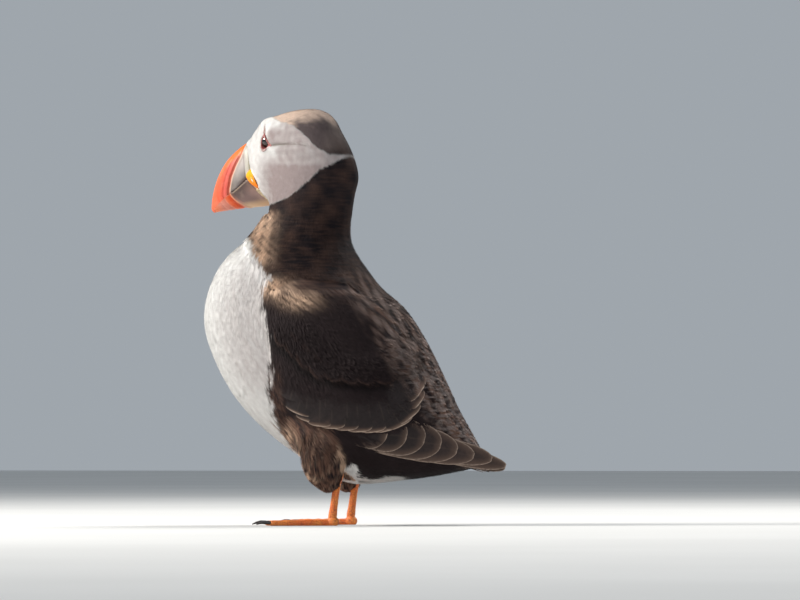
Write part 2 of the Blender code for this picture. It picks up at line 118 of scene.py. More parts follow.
# Front edge of the slate plate on the bill, and where the face's feathers meet the bill's bare base.
SLATE_EDGE = (
    (17.5, 2.5), (19.8, -2.0), (21.5, -7.6), (24.1, -13.0), (26.5, -18.9), (28.0, -25.0), (28.3, -27.4),
    (26.9, -29.5), (24.2, -31.9), (20.5, -34.3), (15.0, -37.5),
)
FACE_EDGE = (
    (20.6, 3.0), (19.3, 0.5), (17.2, -3.0), (15.7, -7.0), (14.8, -11.0), (14.2, -15.0), (13.7, -18.0),
    (12.4, -21.2), (9.4, -24.6), (4.9, -28.7), (0.6, -33.0), (-0.6, -36.0),
)
MOUTH = (
    (2.3, -12.4), (16.9, -19.8), (23.9, -24.6), (28.7, -27.4), (35.3, -31.5), (40.3, -35.0), (41.8, -40.4),
)
# Grooves of the bill: distance ahead of the slate, width, depth.
BILL_GROOVES = ((1.6, 0.65, 0.42), (5.4, 0.5, 0.26), (8.6, 0.45, 0.16))

# Where the white front ends on the side, from the belly up, and the folded wing's outline.
WHITE_EDGE = np.array((
    (-10.4, 26.0), (-17.2, 42.1), (-23.8, 55.6), (-24.4, 69.7), (-22.0, 84.8), (-23.0, 102.6), (-26.6, 117.7),
    (-25.9, 128.0), (-20.5, 132.8), (-26.6, 138.2), (-33.5, 146.9), (-38.2, 155.5), (-60.0, 158.5),
))
WING_OUTLINE = (
    (-24.0, 129.0), (-26.5, 117.7), (-22.5, 102.6), (-20.0, 84.8), (-18.0, 69.0), (-6.0, 57.0), (16.0, 50.5),
    (43.0, 50.0), (56.0, 64.0), (57.5, 78.0), (49.0, 98.0), (35.0, 117.0), (16.0, 133.0), (-8.0, 137.0),
)
# Lines through the tips of the secondaries and of the scalloped shoulder feathers.
SECONDARY_TIPS = (
    (-7.0, 60.0), (-3.5, 56.8), (5.0, 53.2), (16.7, 51.3), (29.3, 49.9), (42.0, 50.4), (51.5, 54.6),
    (57.0, 62.5), (58.4, 72.0),
)
SCAPULAR_TIPS = (
    (-12.0, 97.5), (-5.0, 92.0), (2.1, 85.2), (10.0, 79.4), (18.4, 77.6), (34.0, 76.0), (45.0, 77.0),
    (51.5, 83.0), (49.0, 92.0),
)
# Tips of the folded primaries, (y, z, half width), longest first, and how far out they lie, (y, x).
PRIMARY_TIPS = (
    (101.2, 32.0, 5.3), (94.2, 35.6, 6.6), (85.2, 37.2, 7.8), (77.0, 40.2, 9.4), (69.0, 43.2, 10.4),
    (61.0, 46.0, 10.4), (52.0, 47.6, 9.6), (42.0, 48.6, 8.8),
)
PRIMARY_OUT = np.array(((18.0, 32.0), (34.0, 32.0), (54.0, 27.6), (74.0, 19.5), (88.5, 12.6), (104.0, 7.5)))

FLESH = ["trunk", "neck", "head", "wing_left", "wing_right", "thigh_left", "thigh_right"]
FACE_PARTS = [f"{part}_{word}" for part in ("eye", "eye_plate_upper", "eye_plate_lower", "rosette")
              for _, word in SIDES]
LEGS = [f"{part}_{word}" for part in ("shank", "foot") for _, word in SIDES]
SKIN_VOXEL = 0.95
LEG_VOXEL = 0.45
SWELL = 0.35
LEG_SWELL = 0.12
ROOT_SUNK = 0.15
UV_PATCH = 0.003

WHITE = (0.83, 0.82, 0.80)
# Cheek grey, also the colour of painted shade on the face, the breast's sides and the lower belly.
CHEEK_GREY_AND_SHADE = (0.37, 0.30, 0.292)
BLACK_BROWN = (0.0125, 0.0090, 0.0115)
WORN_BROWN = (0.165, 0.087, 0.060)
DUSTY = (0.275, 0.224, 0.205)
# Tan of the flank's frayed edges and of bleached patches, also painted sunlight on foreneck and shoulder.
TAN_AND_SUNLIT = (0.70, 0.475, 0.33)
CAP_SIDE = (0.098, 0.075, 0.075)
# The cap's top: bleached grey-brown with painted sunlight.
CAP_TOP_WORN_AND_LIT = (0.70, 0.535, 0.43)
PALE_EDGE = (0.30, 0.215, 0.165)
# Colour of painted shade in the face's folds and recesses.
FOLD_SHADE = (0.20, 0.165, 0.14)


# ---------------------------------------------------------------- frames and curves

def to_world(points):
    """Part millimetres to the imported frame's metres."""
    return (np.asarray(points, float) + (0.0, SETTLE_Y, 0.0)) * MM


def to_part(points):
    """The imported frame's metres to part millimetres."""
    return np.asarray(points, float) / MM - (0.0, SETTLE_Y, 0.0)


def turned(points, share=1.0):
    """Points turned about the neck's axis with the head; a share of -1 undoes a full turn."""
    angle = -HEAD_TURN * np.asarray(share)
    x, y, z = np.moveaxis(np.asarray(points, float), -1, 0)
    y = y - NECK_AXIS_Y
    c, s = np.cos(angle), np.sin(angle)
    return np.stack((x * c - y * s, x * s + y * c + NECK_AXIS_Y, z + 0 * x), -1)


def head_frame(points):
    """(forward, up, outward, side) from the eye for points in part millimetres."""
    p = turned(points, -1.0)
    return EYE[1] - p[..., 1], p[..., 2] - EYE[2], np.abs(p[..., 0]), np.sign(p[..., 0])


def from_head(forward, up, out):
    """A point of the head's frame in part millimetres."""
    return turned(np.stack(np.broadcast_arrays(np.asarray(out, float), EYE[1] - forward, EYE[2] + up), -1))


def between(rows, at):
    """Rows at fractional indices on a smooth curve through all of them."""
    rows = np.asarray(rows, float)
    at = np.asarray(at, float)
    i = np.clip(at.astype(int), 0, len(rows) - 2)
    t = (at - i)[..., None]
    a, b, c, d = (rows[np.clip(i + k, 0, len(rows) - 1)] for k in (-1, 0, 1, 2))
    curve = 2 * b + (c - a) * t + (2 * a - 5 * b + 4 * c - d) * t ** 2
    return 0.5 * (curve + (3 * b - a - 3 * c + d) * t ** 3)


def rings(table, places, count):
    """Flat rings of the body or bill at fractional section indices, in part millimetres."""
    back_y, back_z, front_y, front_z, half, fullness, turn = np.split(between(table, places), 7, axis=1)
    angle = np.arange(count) * 2 * math.pi / count
    c, s = np.cos(angle), np.sin(angle)
    x = half * s * (1 - fullness * c)
    y = (back_y + front_y) / 2 + (back_y - front_y) / 2 * c
    z = (back_z + front_z) / 2 + (back_z - front_z) / 2 * c
    return turned(np.stack((x, y, z), -1), turn)


def smooth(low, high, value):
    """0 at low, 1 at high, with soft ends."""
    t = np.clip((np.asarray(value, float) - low) / (high - low), 0, 1)
    return t * t * (3 - 2 * t)


def bell(distance, width):
    """1 at no distance, fading to nothing over about twice the width."""
    return np.exp(-(distance / width) ** 2)


def blob(a, b, centre, radii):
    """1 at a centre in the plane of a and b, fading with the distance."""
    return np.exp(-(((a - centre[0]) / radii[0]) ** 2 + ((b - centre[1]) / radii[1]) ** 2))


def wobble(points, size, seed):
    """Smooth noise of about unit spread, with features of about that size."""
    rng = np.random.default_rng(seed)
    total = 0.0
    for _ in range(7):
        wave = rng.normal(size=3)
        wave *= 2 * math.pi / (size * rng.uniform(0.7, 1.6) * np.linalg.norm(wave))
        total = total + np.sin(points @ wave + rng.uniform(0, 6.28))
    return total / 1.9


def edge_distance(line, y, z):
    """Signed distance from an open line: positive to the left of its direction."""
    line = np.asarray(line, float)
    best = np.full(np.shape(y), 1e9)
    sign = np.ones(np.shape(y))
    for (ay, az), (by, bz) in zip(line, line[1:]):
        dy, dz = by - ay, bz - az
        t = np.clip(((y - ay) * dy + (z - az) * dz) / (dy * dy + dz * dz), 0, 1)
        away = np.hypot(y - ay - t * dy, z - az - t * dz)
        side = np.where(dy * (z - az) - dz * (y - ay) >= 0, 1.0, -1.0)
        sign = np.where(away < best, side, sign)
        best = np.minimum(best, away)
    return best * sign


def inside_outline(outline, y, z):
    """Signed distance inside a closed outline, positive within."""
    outline = np.asarray(outline, float)
    crossed = np.zeros(np.shape(y), bool)
    for (ay, az), (by, bz) in zip(outline, np.roll(outline, -1, 0)):
        spans = (az > z) != (bz > z)
        at = ay + (z - az) * (by - ay) / (bz - az + 1e-12)
        crossed ^= spans & (y < at)
    away = np.abs(edge_distance(np.vstack((outline, outline[:1])), y, z))
    return np.where(crossed, away, -away)


def along_line(line, count, start=0.0, end=1.0):
    """Places evenly spaced by length along a line."""
    dense = between(line, np.linspace(0, len(line) - 1, 200))
    run = np.concatenate(([0], np.cumsum(np.hypot(*np.diff(dense, axis=0).T))))
    want = np.linspace(start, end, count) * run[-1]
    return np.stack([np.interp(want, run, dense[:, k]) for k in (0, 1)], 1)


def closed_line(points, count):
    """A smooth closed curve through the points."""
    points = np.asarray(points, float)
    looped = np.vstack((points[-2:], points, points[:3]))
    return between(looped, np.linspace(2, len(points) + 2, count + 1)[:-1])


# ---------------------------------------------------------------- markings

def face_mask(points):
    """1 on the pale face, 0 on cap, neck and body, with a soft edge."""
    f, u, _, _ = head_frame(points)
    rough = 0.10 * wobble(points, 4.0, 1) + 0.10 * wobble(points, 1.3, 2)
    top = np.interp(f, CAP_EDGE[:, 0], CAP_EDGE[:, 1])
    low = np.interp(f, COLLAR_EDGE[:, 0], COLLAR_EDGE[:, 1])
    below_cap = np.maximum(smooth(-0.6, 0.6, top - u + rough), smooth(9.6, 11.6, f + rough))
    above_collar = smooth(-0.7, 0.7, u - low + rough)
    return below_cap * above_collar * smooth(-45.5, -42.0, f) * (points[..., 2] > 165)


def face_grey_and_shade(points, face):
    """Grey of the cheek and of the patch above the crease: the cheek's own grey with painted shade over the
    rear and lower cheek and above the crease; the front of the face stays white.
    """
    f, u, _, _ = head_frame(points)
    behind = smooth(10.0, -8.0, f) * smooth(-4.0, -17.0, u)
    cheek = np.maximum(0.90 * behind + 0.17, 0.60 * smooth(-20.0, -34.0, f))
    cheek = np.maximum(cheek, 0.78 * smooth(-3.0, -12.5, f + 0.8 * wobble(points, 5.0, 15)))
    above = face * (0.80 + 0.12 * smooth(-9.0, -4.0, f)) * smooth(-2.9, -1.0, u) * smooth(10.5, 4.5, u)
    return face * np.maximum(cheek, above * smooth(2.0, -3.5, f))


def painted_fold_shade(points, face):
    """Painted shade in the crease and apex fold, and at the face's edge by the bill and round the eye."""
    f, u, out, _ = head_frame(points)
    crease = bell(np.abs(edge_distance(CREASE, f, u)), 0.42 + 0.42 * smooth(-17.0, -5.0, f))
    crease = (0.34 + 0.55 * smooth(-26.0, -9.0, f)) * crease
    apex = 0.5 * bell(np.abs(edge_distance(APEX_FOLD, f, u)), 0.4)
    at_bill = 0.35 * bell(edge_distance(FACE_EDGE, f, u) + 0.3, 0.4) * (out > 1.5)
    at_eye = 0.6 * bell(inside_outline(EYE_OUTER, f, u) + 0.3, 0.45) * (out > 6)
    return face * np.maximum.reduce((crease, apex, at_bill, at_eye))


def cap_mask(points):
    """1 on the grey-brown cap, fading into the dark nape."""
    f, u, _, _ = head_frame(points)
    return smooth(-13.0, -4.0, u + 0.05 * f) * smooth(-47.0, -34.0, f) * (1 - face_mask(points))


def crown_wear_and_light_mask(points):
    """How far the cap is paled, most on its top and front: bleached wear, with painted sunlight on the top.
    """
    f, u, out, _ = head_frame(points)
    level = u + 0.27 * (f + 10.0) + 6.0 * smooth(7.0, 0.0, out) * smooth(-8.0, 0.0, u)
    level = level + 0.8 * wobble(points, 6.0, 12) + 0.6 * wobble(points, 2.2, 14)
    most = 0.92 - 0.30 * smooth(-12.0, -26.0, f)
    return 0.13 * smooth(-31.0, -41.0, f) + most * smooth(3.4, 11.2, level)


def white_front(points):
    """1 on the white breast, belly and vent."""
    x, y, z = np.moveaxis(points, -1, 0)
    streak = 0.9 * wobble(points * (1.0, 1.0, 0.16), 2.0, 3) + 0.8 * wobble(points, 9.0, 4)
    front = smooth(-1.6, 1.6, np.interp(z, WHITE_EDGE[:, 1], WHITE_EDGE[:, 0]) - y + streak) * (z < 159.0)
    under = smooth(10.0, 15.0, 24.0 - np.abs(x) + 0.8 * streak) * smooth(54.0, 44.0, z)
    under = under * smooth(26.0, 16.0, y)
    vent = smooth(0.35, 0.55, blob(y, z, (29.0, 24.0), (17.0, 7.0)) + 0.05 * streak)
    vent = vent * smooth(6.0, 10.0, 22 - np.abs(x) + streak)
    tuft = smooth(0.4, 0.6, blob(y, z, (20.5, 29.0), (3.6, 5.0)) + 0.06 * streak)
    return np.maximum.reduce((front, under, vent, tuft))


def lobe_depth(y, z):
    """How far inside the scalloped lower edge of the shoulder feathers a place lies."""
    depth = edge_distance(SCAPULAR_TIPS, y, z) - 5.0
    for centre_y, centre_z in along_line(SCAPULAR_TIPS, 10, 0.02, 0.97) + (-1.2, 4.2):
        depth = np.maximum(depth, 6.2 - np.hypot(y - centre_y, z - centre_z))
    return depth


def back_marks(points):
    """Worn brown of neck and back, the back's dusty flecks and the rump's bars."""
    x, y, z = np.moveaxis(points, -1, 0)
    patches = wobble(points * (1.0, 0.8, 0.6), 7.0, 6)
    along, across = 0.52 * y - 0.85 * z, 0.85 * y + 0.52 * z
    flecks = wobble(np.stack((x, across, 0.4 * along), -1), 3.6, 7)
    back = smooth(78.0, 90.0, across) * smooth(142.0, 126.0, z)
    above_tail = z + 0.25 * (y - 20)
    neck = smooth(112.0, 135.0, z) * (0.08 + 0.07 * patches + 0.09 * smooth(146.0, 132.0, z))
    worn = 0.06 + neck + back * (0.34 + 0.66 * np.clip(flecks + 0.15, -0.5, 1.3))
    worn = worn * smooth(24.0, 38.0, above_tail)
    dusty = back * 0.66 * smooth(-0.3, 1.3, flecks + 0.5 * patches) * smooth(24.0, 38.0, above_tail)
    bars = back * smooth(104.0, 84.0, z + 4.0 * patches) * smooth(28.0, 44.0, above_tail)
    return worn, dusty + bars * (0.22 - 0.62 * dusty), bars


def flank_marks(points):
    """Worn brown of the flank and along the wing's foot, and the flank's frayed tan edges."""
    x, y, z = np.moveaxis(points, -1, 0)
    strands = wobble(points * (0.8, 1.0, 0.06), 1.3, 9)
    hind_edge = y - (12.8 + 0.28 * (48.0 - z))
    flank = smooth(60.0, 48.0, z) * smooth(2.4, -0.6, hind_edge + 0.5 * strands)
    wing_foot = smooth(-12.0, -17.0, y) * smooth(92.0, 66.0, z)
    worn = np.maximum(flank, 0.6 * wing_foot) * (0.50 + 0.34 * wobble(points * (0.8, 1.0, 0.07), 1.5, 8))
    front = smooth(4.0, -5.0, y - np.interp(z, (24.0, 60.0), (4.0, -20.0))) * (0.22 + 0.36 * strands)
    hind = 0.75 * bell(hind_edge + 0.6 * strands, 0.7 + 0.05 * (46.0 - z)) * smooth(47.0, 40.0, z)
    return worn, flank * (front + 0.16 * smooth(0.3, 1.4, strands)) + hind * (np.abs(x) > 12)


def tan_and_sunlight_mask(points):
    """Pale patches of the foreneck and the shoulder: sun-bleached feathers with painted sunlight on them."""
    x, y, z = np.moveaxis(points, -1, 0)
    foreneck = blob(y, z, (-32.0, 159.0), (8.0, 12.0)) + 0.7 * blob(y, z, (-28.0, 144.0), (6.0, 6.0))
    shoulder = blob(y, z, (-20.5, 127.5), (9.5, 4.6)) + 0.9 * blob(y, z, (-4.5, 120.0), (9.0, 4.0))
    streaks = wobble(np.stack((0.6 * x, 0.5 * y + 0.87 * z, 0.2 * (0.87 * y - 0.5 * z)), -1), 1.9, 11)
    return (foreneck + shoulder) * (0.90 + 0.42 * streaks)


def marks(points):
    """The plumage's masks at points in part millimetres, by name."""
    x, y, z = np.moveaxis(points, -1, 0)
    face = face_mask(points)
    worn, dusty, bars = back_marks(points)
    flank_worn, fray = flank_marks(points)
    depth = lobe_depth(y, z) + 60.0 * (np.abs(x) < 12)
    # Painted highlight: the lit lower edge of the shoulder feathers' scallops, lightened through worn.
    tips = 0.22 * smooth(2.2, 0.3, depth) * (depth > 0.3) * smooth(60.0, 66.0, z)
    # Painted shade: grey on the sides of the white front and, lower down, on the belly.
    side = 0.44 * smooth(16.0, 34.0, np.abs(x)) * smooth(60.0, 85.0, z) * smooth(158.0, 140.0, z)
    grey = np.where(z > 165, face_grey_and_shade(points, face), side + 0.17 * smooth(118.0, 40.0, z))
    return {
        "pale": np.maximum(face, white_front(points)),
        "dusty": dusty,
        "bars": bars,
        "ripple": smooth(112.0, 132.0, z) * (0.55 + 0.45 * smooth(175.0, 150.0, z)) * smooth(206.0, 190.0, z),
        "grey": np.clip(grey + 0.05 * wobble(points, 4.0, 10), 0, 1),
        "cap": cap_mask(points),
        # crown: bleached wear of the cap and its painted sunlit top.
        "crown": crown_wear_and_light_mask(points),
        "worn": np.clip(worn + flank_worn + tips, 0, 1),
        "tan_and_sunlight": np.clip(np.where(z < 170, np.maximum(tan_and_sunlight_mask(points), fray), 0), 0, 1),
        "fold_shade": painted_fold_shade(points, face),
        "shade": 0.6 * smooth(-4.5, -0.5, depth) * smooth(0.6, 0.0, depth),
    }


# ---------------------------------------------------------------- meshes

def mesh_of(name, points, faces):
    """A mesh from points in metres and an array of triangles or quads."""
    points = np.ascontiguousarray(points, np.float32)
    faces = np.ascontiguousarray(faces, np.int32)
    mesh = bpy.data.meshes.new(name)
    mesh.vertices.add(len(points))
    mesh.vertices.foreach_set("co", points.ravel())
    mesh.loops.add(faces.size)
    mesh.loops.foreach_set("vertex_index", faces.ravel())
    mesh.polygons.add(len(faces))
    mesh.polygons.foreach_set("loop_start", np.arange(0, faces.size, faces.shape[1], dtype=np.int32))
    mesh.polygons.foreach_set("use_smooth", np.ones(len(faces), bool))
    mesh.update(calc_edges=True)
    return mesh


def new_object(name, data):
    """A new object in the scene."""
    made = bpy.data.objects.new(name, data)
    bpy.context.scene.collection.objects.link(made)
    return made


def add_piece(name, mesh, slot, *paints, replaced=()):
    """A mesh as a piece of the visual model, in place of the named nodes."""
    piece = new_object(name, mesh)
    for paint in paints:
        mesh.materials.append(paint)
    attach(piece, "root")
    if replaced:
        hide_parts(*replaced)


def put_attribute(mesh, name, values):
    made = mesh.attributes.new(name, "FLOAT", "POINT")
    made.data.foreach_set("value", np.ascontiguousarray(values, np.float32))


def put_uv(mesh, uv):
    """The OFBake map from one (u, v) per vertex."""
    layer = mesh.uv_layers.new(name="OFBake")
    corner = np.empty(len(mesh.loops), np.int32)
    mesh.loops.foreach_get("vertex_index", corner)
    layer.uv.foreach_set("vector", np.ascontiguousarray(uv[corner], np.float32).ravel())


def arrays_of(mesh):
    """Points and triangles of a mesh."""
    mesh.calc_loop_triangles()
    points = np.empty(len(mesh.vertices) * 3, np.float32)
    mesh.vertices.foreach_get("co", points)
    faces = np.empty(len(mesh.loop_triangles) * 3, np.int32)
    mesh.loop_triangles.foreach_get("vertices", faces)
    return points.reshape(-1, 3).astype(float), faces.reshape(-1, 3)


def grid_faces(rows, columns):
    """Quads of a grid closed across its columns."""
    r, c = np.meshgrid(np.arange(rows - 1), np.arange(columns), indexing="ij")
    a = r * columns + c
    b = r * columns + (c + 1) % columns
    return np.stack((a, b, b + columns, a + columns), -1).reshape(-1, 4)


def unit(vectors):
    return vectors / np.maximum(np.linalg.norm(vectors, axis=-1, keepdims=True), 1e-12)


def point_normals(points, faces):
    """Normals at points, each the mean of its triangles' weighted by area."""
    a, b, c = (points[faces[:, k]] for k in range(3))
    face = np.cross(b - a, c - a)
    normal = np.zeros_like(points)
    for k in range(3):
        for axis in range(3):
            normal[:, axis] += np.bincount(faces[:, k], face[:, axis], len(points))
    return unit(normal)


def relax(values, faces, rounds, share=0.5):
    """Values on points smoothed over the mesh's edges."""
    ends = np.vstack([faces[:, [i, (i + 1) % faces.shape[1]]] for i in range(faces.shape[1])])
    ends = np.vstack((ends, ends[:, ::-1]))
    count = np.bincount(ends[:, 0], minlength=len(values))[:, None]
    for _ in range(rounds):
        total = np.stack([np.bincount(ends[:, 0], values[ends[:, 1], k], len(values)) for k in range(3)], 1)
        values = values + share * (total / np.maximum(count, 1) - values)
    return values


def remeshed(nodes, swell, voxel):
    """One closed mesh round the named solids, each swollen a little so that they meet."""
    parts, faces, start = [], [], 0
    for node in nodes:
        points, triangles = arrays_of(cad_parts[node].data)
        _, first, index = np.unique(np.round(points, 7), axis=0, return_index=True, return_inverse=True)
        points, triangles = points[first], index.reshape(-1)[triangles]
        parts.append(points + point_normals(points, triangles) * swell * MM)
        faces.append(triangles + start)
        start += len(points)
    mesh = mesh_of("union", np.vstack(parts), np.vstack(faces))
    obj = new_object("union", mesh)
    remesh = obj.modifiers.new("remesh", "REMESH")
    remesh.mode = "VOXEL"
    remesh.voxel_size = voxel * MM
    points, triangles = arrays_of(obj.evaluated_get(bpy.context.evaluated_depsgraph_get()).to_mesh())
    bpy.data.objects.remove(obj)
    bpy.data.meshes.remove(mesh)
    return points, triangles


class Surface:
    """A mesh to look up."""

    def __init__(self, points, faces):
        self.points = points
        self.faces = faces
        self.normals = point_normals(points, faces)
        self.tree = BVHTree.FromPolygons(points.tolist(), faces.tolist())

    def nearest(self, points):
        """Nearest surface points and their smoothed normals."""
        found = [self.tree.find_nearest(p)[0::2] for p in points.tolist()]
        at = np.array([f[0] for f in found])
        face = self.faces[[f[1] for f in found]]
        away = np.linalg.norm(self.points[face] - at[:, None], axis=2) + 1e-6
        return at, unit((self.normals[face] / away[..., None]).sum(1))


def reach(surfaces, starts, inward):
    """How far each start is from the nearest of some surfaces along a direction, in metres, or nan."""
    found = np.full(len(starts), np.nan)
    for surface in surfaces:
        hits = [surface.tree.ray_cast(Vector(p), inward)[3] for p in starts.tolist()]
        found = np.fmin(found, np.array(hits, float))
    return found


def quadratic_fit(a, b, values):
    """A quadratic surface through the values at (a, b), which bridges steps and gaps."""
    good = ~np.isnan(values)
    terms = np.stack((np.ones_like(a), a, b, a * a, a * b, b * b), -1)
    weights = np.linalg.lstsq(terms[good], values[good], rcond=None)[0]
    return terms @ weights


# ---------------------------------------------------------------- skin

def coat_depth(points):
    """How far the skin lies inside the solids."""
    y, z = points[..., 1], points[..., 2]
    on_head = smooth(160.0, 178.0, z)
    low_leg = smooth(34.0, 22.0, z) * (y < 20)
    body = 1.7 - 0.9 * low_leg - 0.8 * smooth(-6.0, 26.0, y)
    face = 0.55 + 0.1 * smooth(0.0, -25.0, head_frame(points)[0])
    return body * (1 - on_head) + face * on_head


def melt(points):
    """Where the solids' joints are smoothed away: the top of each wing, and round each thigh."""
    x, y, z = np.moveaxis(points, -1, 0)
    wing_top = smooth(13.0, 5.0, np.abs(inside_outline(WING_OUTLINE, y, z))) * smooth(96.0, 108.0, z)
    thigh = smooth(26.0, 34.0, z) * smooth(70.0, 58.0, z) * smooth(27.0, 20.0, y)
    return np.maximum(wing_top, 0.9 * thigh) * smooth(7.0, 16.0, np.abs(x))


def round_the_eyes(points, lie):
    """Fills the hollow round each eye up to the face's own curve, and sinks the skin behind the eyeball."""
    f, u, out, side = head_frame(points)
    near = np.flatnonzero((np.hypot(f, u + 0.5) < 9.5) & (out > 8) & (points[:, 2] > 180))
    f, u, out, side = f[near], u[near], out[near], side[near]
    within = inside_outline(EYE_OUTER, f, u)
    face = lie.outward(f, u) - 0.6
    level = np.where(within > 0, face - 2.6 * smooth(0.1, 1.1, within), face)
    share = smooth(9.5, 7.5, np.hypot(f, u + 0.5))
    points[near] = from_head(f, u, (out + share * (level - out)) * side)
    return points


def skin_relief(points):
    """Height of the face's folds and of the swells of forehead, crown, nape and throat."""
    f, u, out, _ = head_frame(points)
    x, y, z = np.moveaxis(points, -1, 0)
    crease = -0.8 * bell(edge_distance(CREASE, f, u), 0.8)
    apex = -0.35 * bell(edge_distance(APEX_FOLD, f, u), 0.7)
    cheek = 0.75 * bell(u + 5.0, 2.6) * smooth(4.0, -6.0, f) * smooth(-32.0, -20.0, f)
    brow = 0.45 * bell(u - 3.4, 2.6) * bell(f + 4.0, 5.0)
    lid = 0.35 * bell(inside_outline(EYE_OUTER, f, u) + 0.7, 0.6)
    folds = np.where((z > 170) & (out > 6), crease + apex + cheek + brow + lid, 0.0)
    forehead = 1.9 * blob(f, u, (8.0, 12.5), (5.0, 4.8)) - 0.8 * blob(f, u, (17.0, 4.0), (3.0, 3.5))
    crown = 1.6 * blob(f, u, (-27.0, 13.5), (13.0, 9.0)) * smooth(2.0, 9.0, u)
    nape = 1.1 * blob(y, z, (20.0, 187.0), (7.0, 7.0)) - 1.7 * blob(y, z, (33.0, 131.0), (14.0, 11.0))
    throat = 1.7 * blob(y, z, (-35.0, 163.0), (7.0, 6.5)) * smooth(17.0, 11.0, np.abs(x))
    under_horn = -2.1 * smooth(-0.9, 0.5, edge_distance(FACE_EDGE, f, u)) * smooth(0.0, -5.0, u) * (z > 168)
    return folds + (forehead + crown) * (z > 190) + (nape + throat) + under_horn


def body_skin(lie):
    """The feathered skin as points and triangles in metres."""
    points, faces = remeshed(FLESH + FACE_PARTS, SWELL, SKIN_VOXEL)
    points = relax(points, faces, 3)
    normals = unit(relax(point_normals(points, faces), faces, 4))
    part = to_part(points)
    points = points - normals * ((coat_depth(part) + SWELL) * MM)[:, None]
    points = relax(points, faces, 3)
    points = points + melt(part)[:, None] * (relax(points, faces, 36) - points)
    points = to_world(round_the_eyes(to_part(points), lie))
    normals = point_normals(points, faces)
    return points + normals * (skin_relief(to_part(points)) * MM)[:, None], faces


def build_skin(lie):
    """Body and legs as one piece. Returns the feathered part of it."""
    body, body_faces = body_skin(lie)
    legs, leg_faces = remeshed(LEGS, LEG_SWELL, LEG_VOXEL)
    legs = relax(legs, leg_faces, 2, 0.4)
    points = np.vstack((body, legs))
    mesh = mesh_of("skin", points, np.vstack((body_faces, leg_faces + len(body))))
    bare = dict(tone=np.full(len(points), 0.5), fringe=np.zeros(len(points)), along=np.zeros(len(points)))
    for name, values in {**marks(to_part(points)), **bare}.items():
        put_attribute(mesh, name, values)
    add_piece("skin", mesh, "leg_skin", PLUMAGE, LEG_SKIN, replaced=FLESH + LEGS)
    which = np.repeat(np.int32((0, 1)), (len(body_faces), len(leg_faces)))
    mesh.polygons.foreach_set("material_index", which)
    return Surface(body, body_faces)


# ---------------------------------------------------------------- lie of the coat

class Lie:
    """Which way the plumage runs: along the body from the bill back, then down each wing and leg."""

    COUNT = 64
    STEPS = 6
    HEAD_FROM = 9

    def __init__(self):
        places = np.arange(0, (len(BODY) - 1) * self.STEPS + 1) / self.STEPS
        grid = rings(BODY, places, self.COUNT)
        back = np.empty_like(grid)
        back[1:] = grid[:-1] - grid[1:]
        back[0] = back[1]
        self.directions = unit(back).reshape(-1, 3)
        shares = np.meshgrid(places / places[-1], np.arange(self.COUNT) / self.COUNT, indexing="ij")
        self.unwrap = np.stack(shares, -1).reshape(-1, 2)
        flat = grid.reshape(-1, 3)
        self.tree = KDTree(len(flat))
        for i, p in enumerate(flat.tolist()):
            self.tree.insert(p, i)
        self.tree.balance()
        self.head = self.straight_head(places[self.HEAD_FROM * self.STEPS:])

    def straight_head(self, places):
        """The smooth head, turned back to look straight ahead."""
        table = BODY.copy()
        table[:, 6] = 1.0
        grid = turned(rings(table, places, self.COUNT), -1.0)
        quads = grid_faces(len(places), self.COUNT)
        return BVHTree.FromPolygons(grid.reshape(-1, 3).tolist(), quads.tolist())

    def outward(self, forward, up):
        """How far out the smooth head reaches at places of the head's frame."""
        found = []
        for f, u in zip(forward.tolist(), up.tolist()):
            hit = self.head.ray_cast(Vector((60.0, EYE[1] - f, EYE[2] + u)), Vector((-1, 0, 0)))[0]
            found.append(hit.x if hit else 0.0)
        return np.array(found)

    def at(self, points):
        """Directions and unwrapped places for points in part millimetres."""
        near = np.array([[n[1] for n in self.tree.find_n(p, 3)] for p in points.tolist()])
        flow = unit(self.directions[near].mean(1))
        x, y, z = np.moveaxis(points, -1, 0)
        wing_edge = 3.0 + 9.0 * smooth(96.0, 110.0, z)
        on_wing = smooth(-3.0, wing_edge, inside_outline(WING_OUTLINE, y, z)) * (np.abs(x) > 10)
        on_leg = smooth(48.0, 40.0, z) * (np.abs(x) > 8) * (y < 20)
        along_wing = unit(np.stack((0 * x, 0.45 + 0.012 * (y + 20), -0.80 + 0 * x), -1))
        flow = unit(flow + on_wing[:, None] * (along_wing - flow))
        flow = unit(flow + on_leg[:, None] * ((0.0, 0.12, -1.0) - flow))
        return flow, self.unwrap[near[:, 0]]


# ---------------------------------------------------------------- feathers

# A feather's rows: shares along it, its width at each, and how many columns it has.
LEAF = (np.array((0.0, 0.35, 0.68, 0.9, 1.0)), np.array((0.45, 0.95, 1.0, 0.62, 0.0)), 3)
TUFT = (np.array((0.0, 0.55, 1.0)), np.array((0.7, 1.0, 0.0)), 2)
# Marks that are taken at each vertex of a feather, where the others hold for all of it.
FINE_MARKS = {"worn", "dusty", "tan_and_sunlight", "crown", "shade", "ripple"}


def strip_faces(rows, columns):
    """Triangles of a strip whose last row is one point."""
    faces = []
    for r in range(rows - 2):
        for c in range(columns - 1):
            a = r * columns + c
            b = a + columns
            faces += [(a, a + 1, b + 1), (a, b + 1, b)]
    last = (rows - 2) * columns
    faces += [(last + c, last + c + 1, (rows - 1) * columns) for c in range(columns - 1)]
    return np.array(faces)


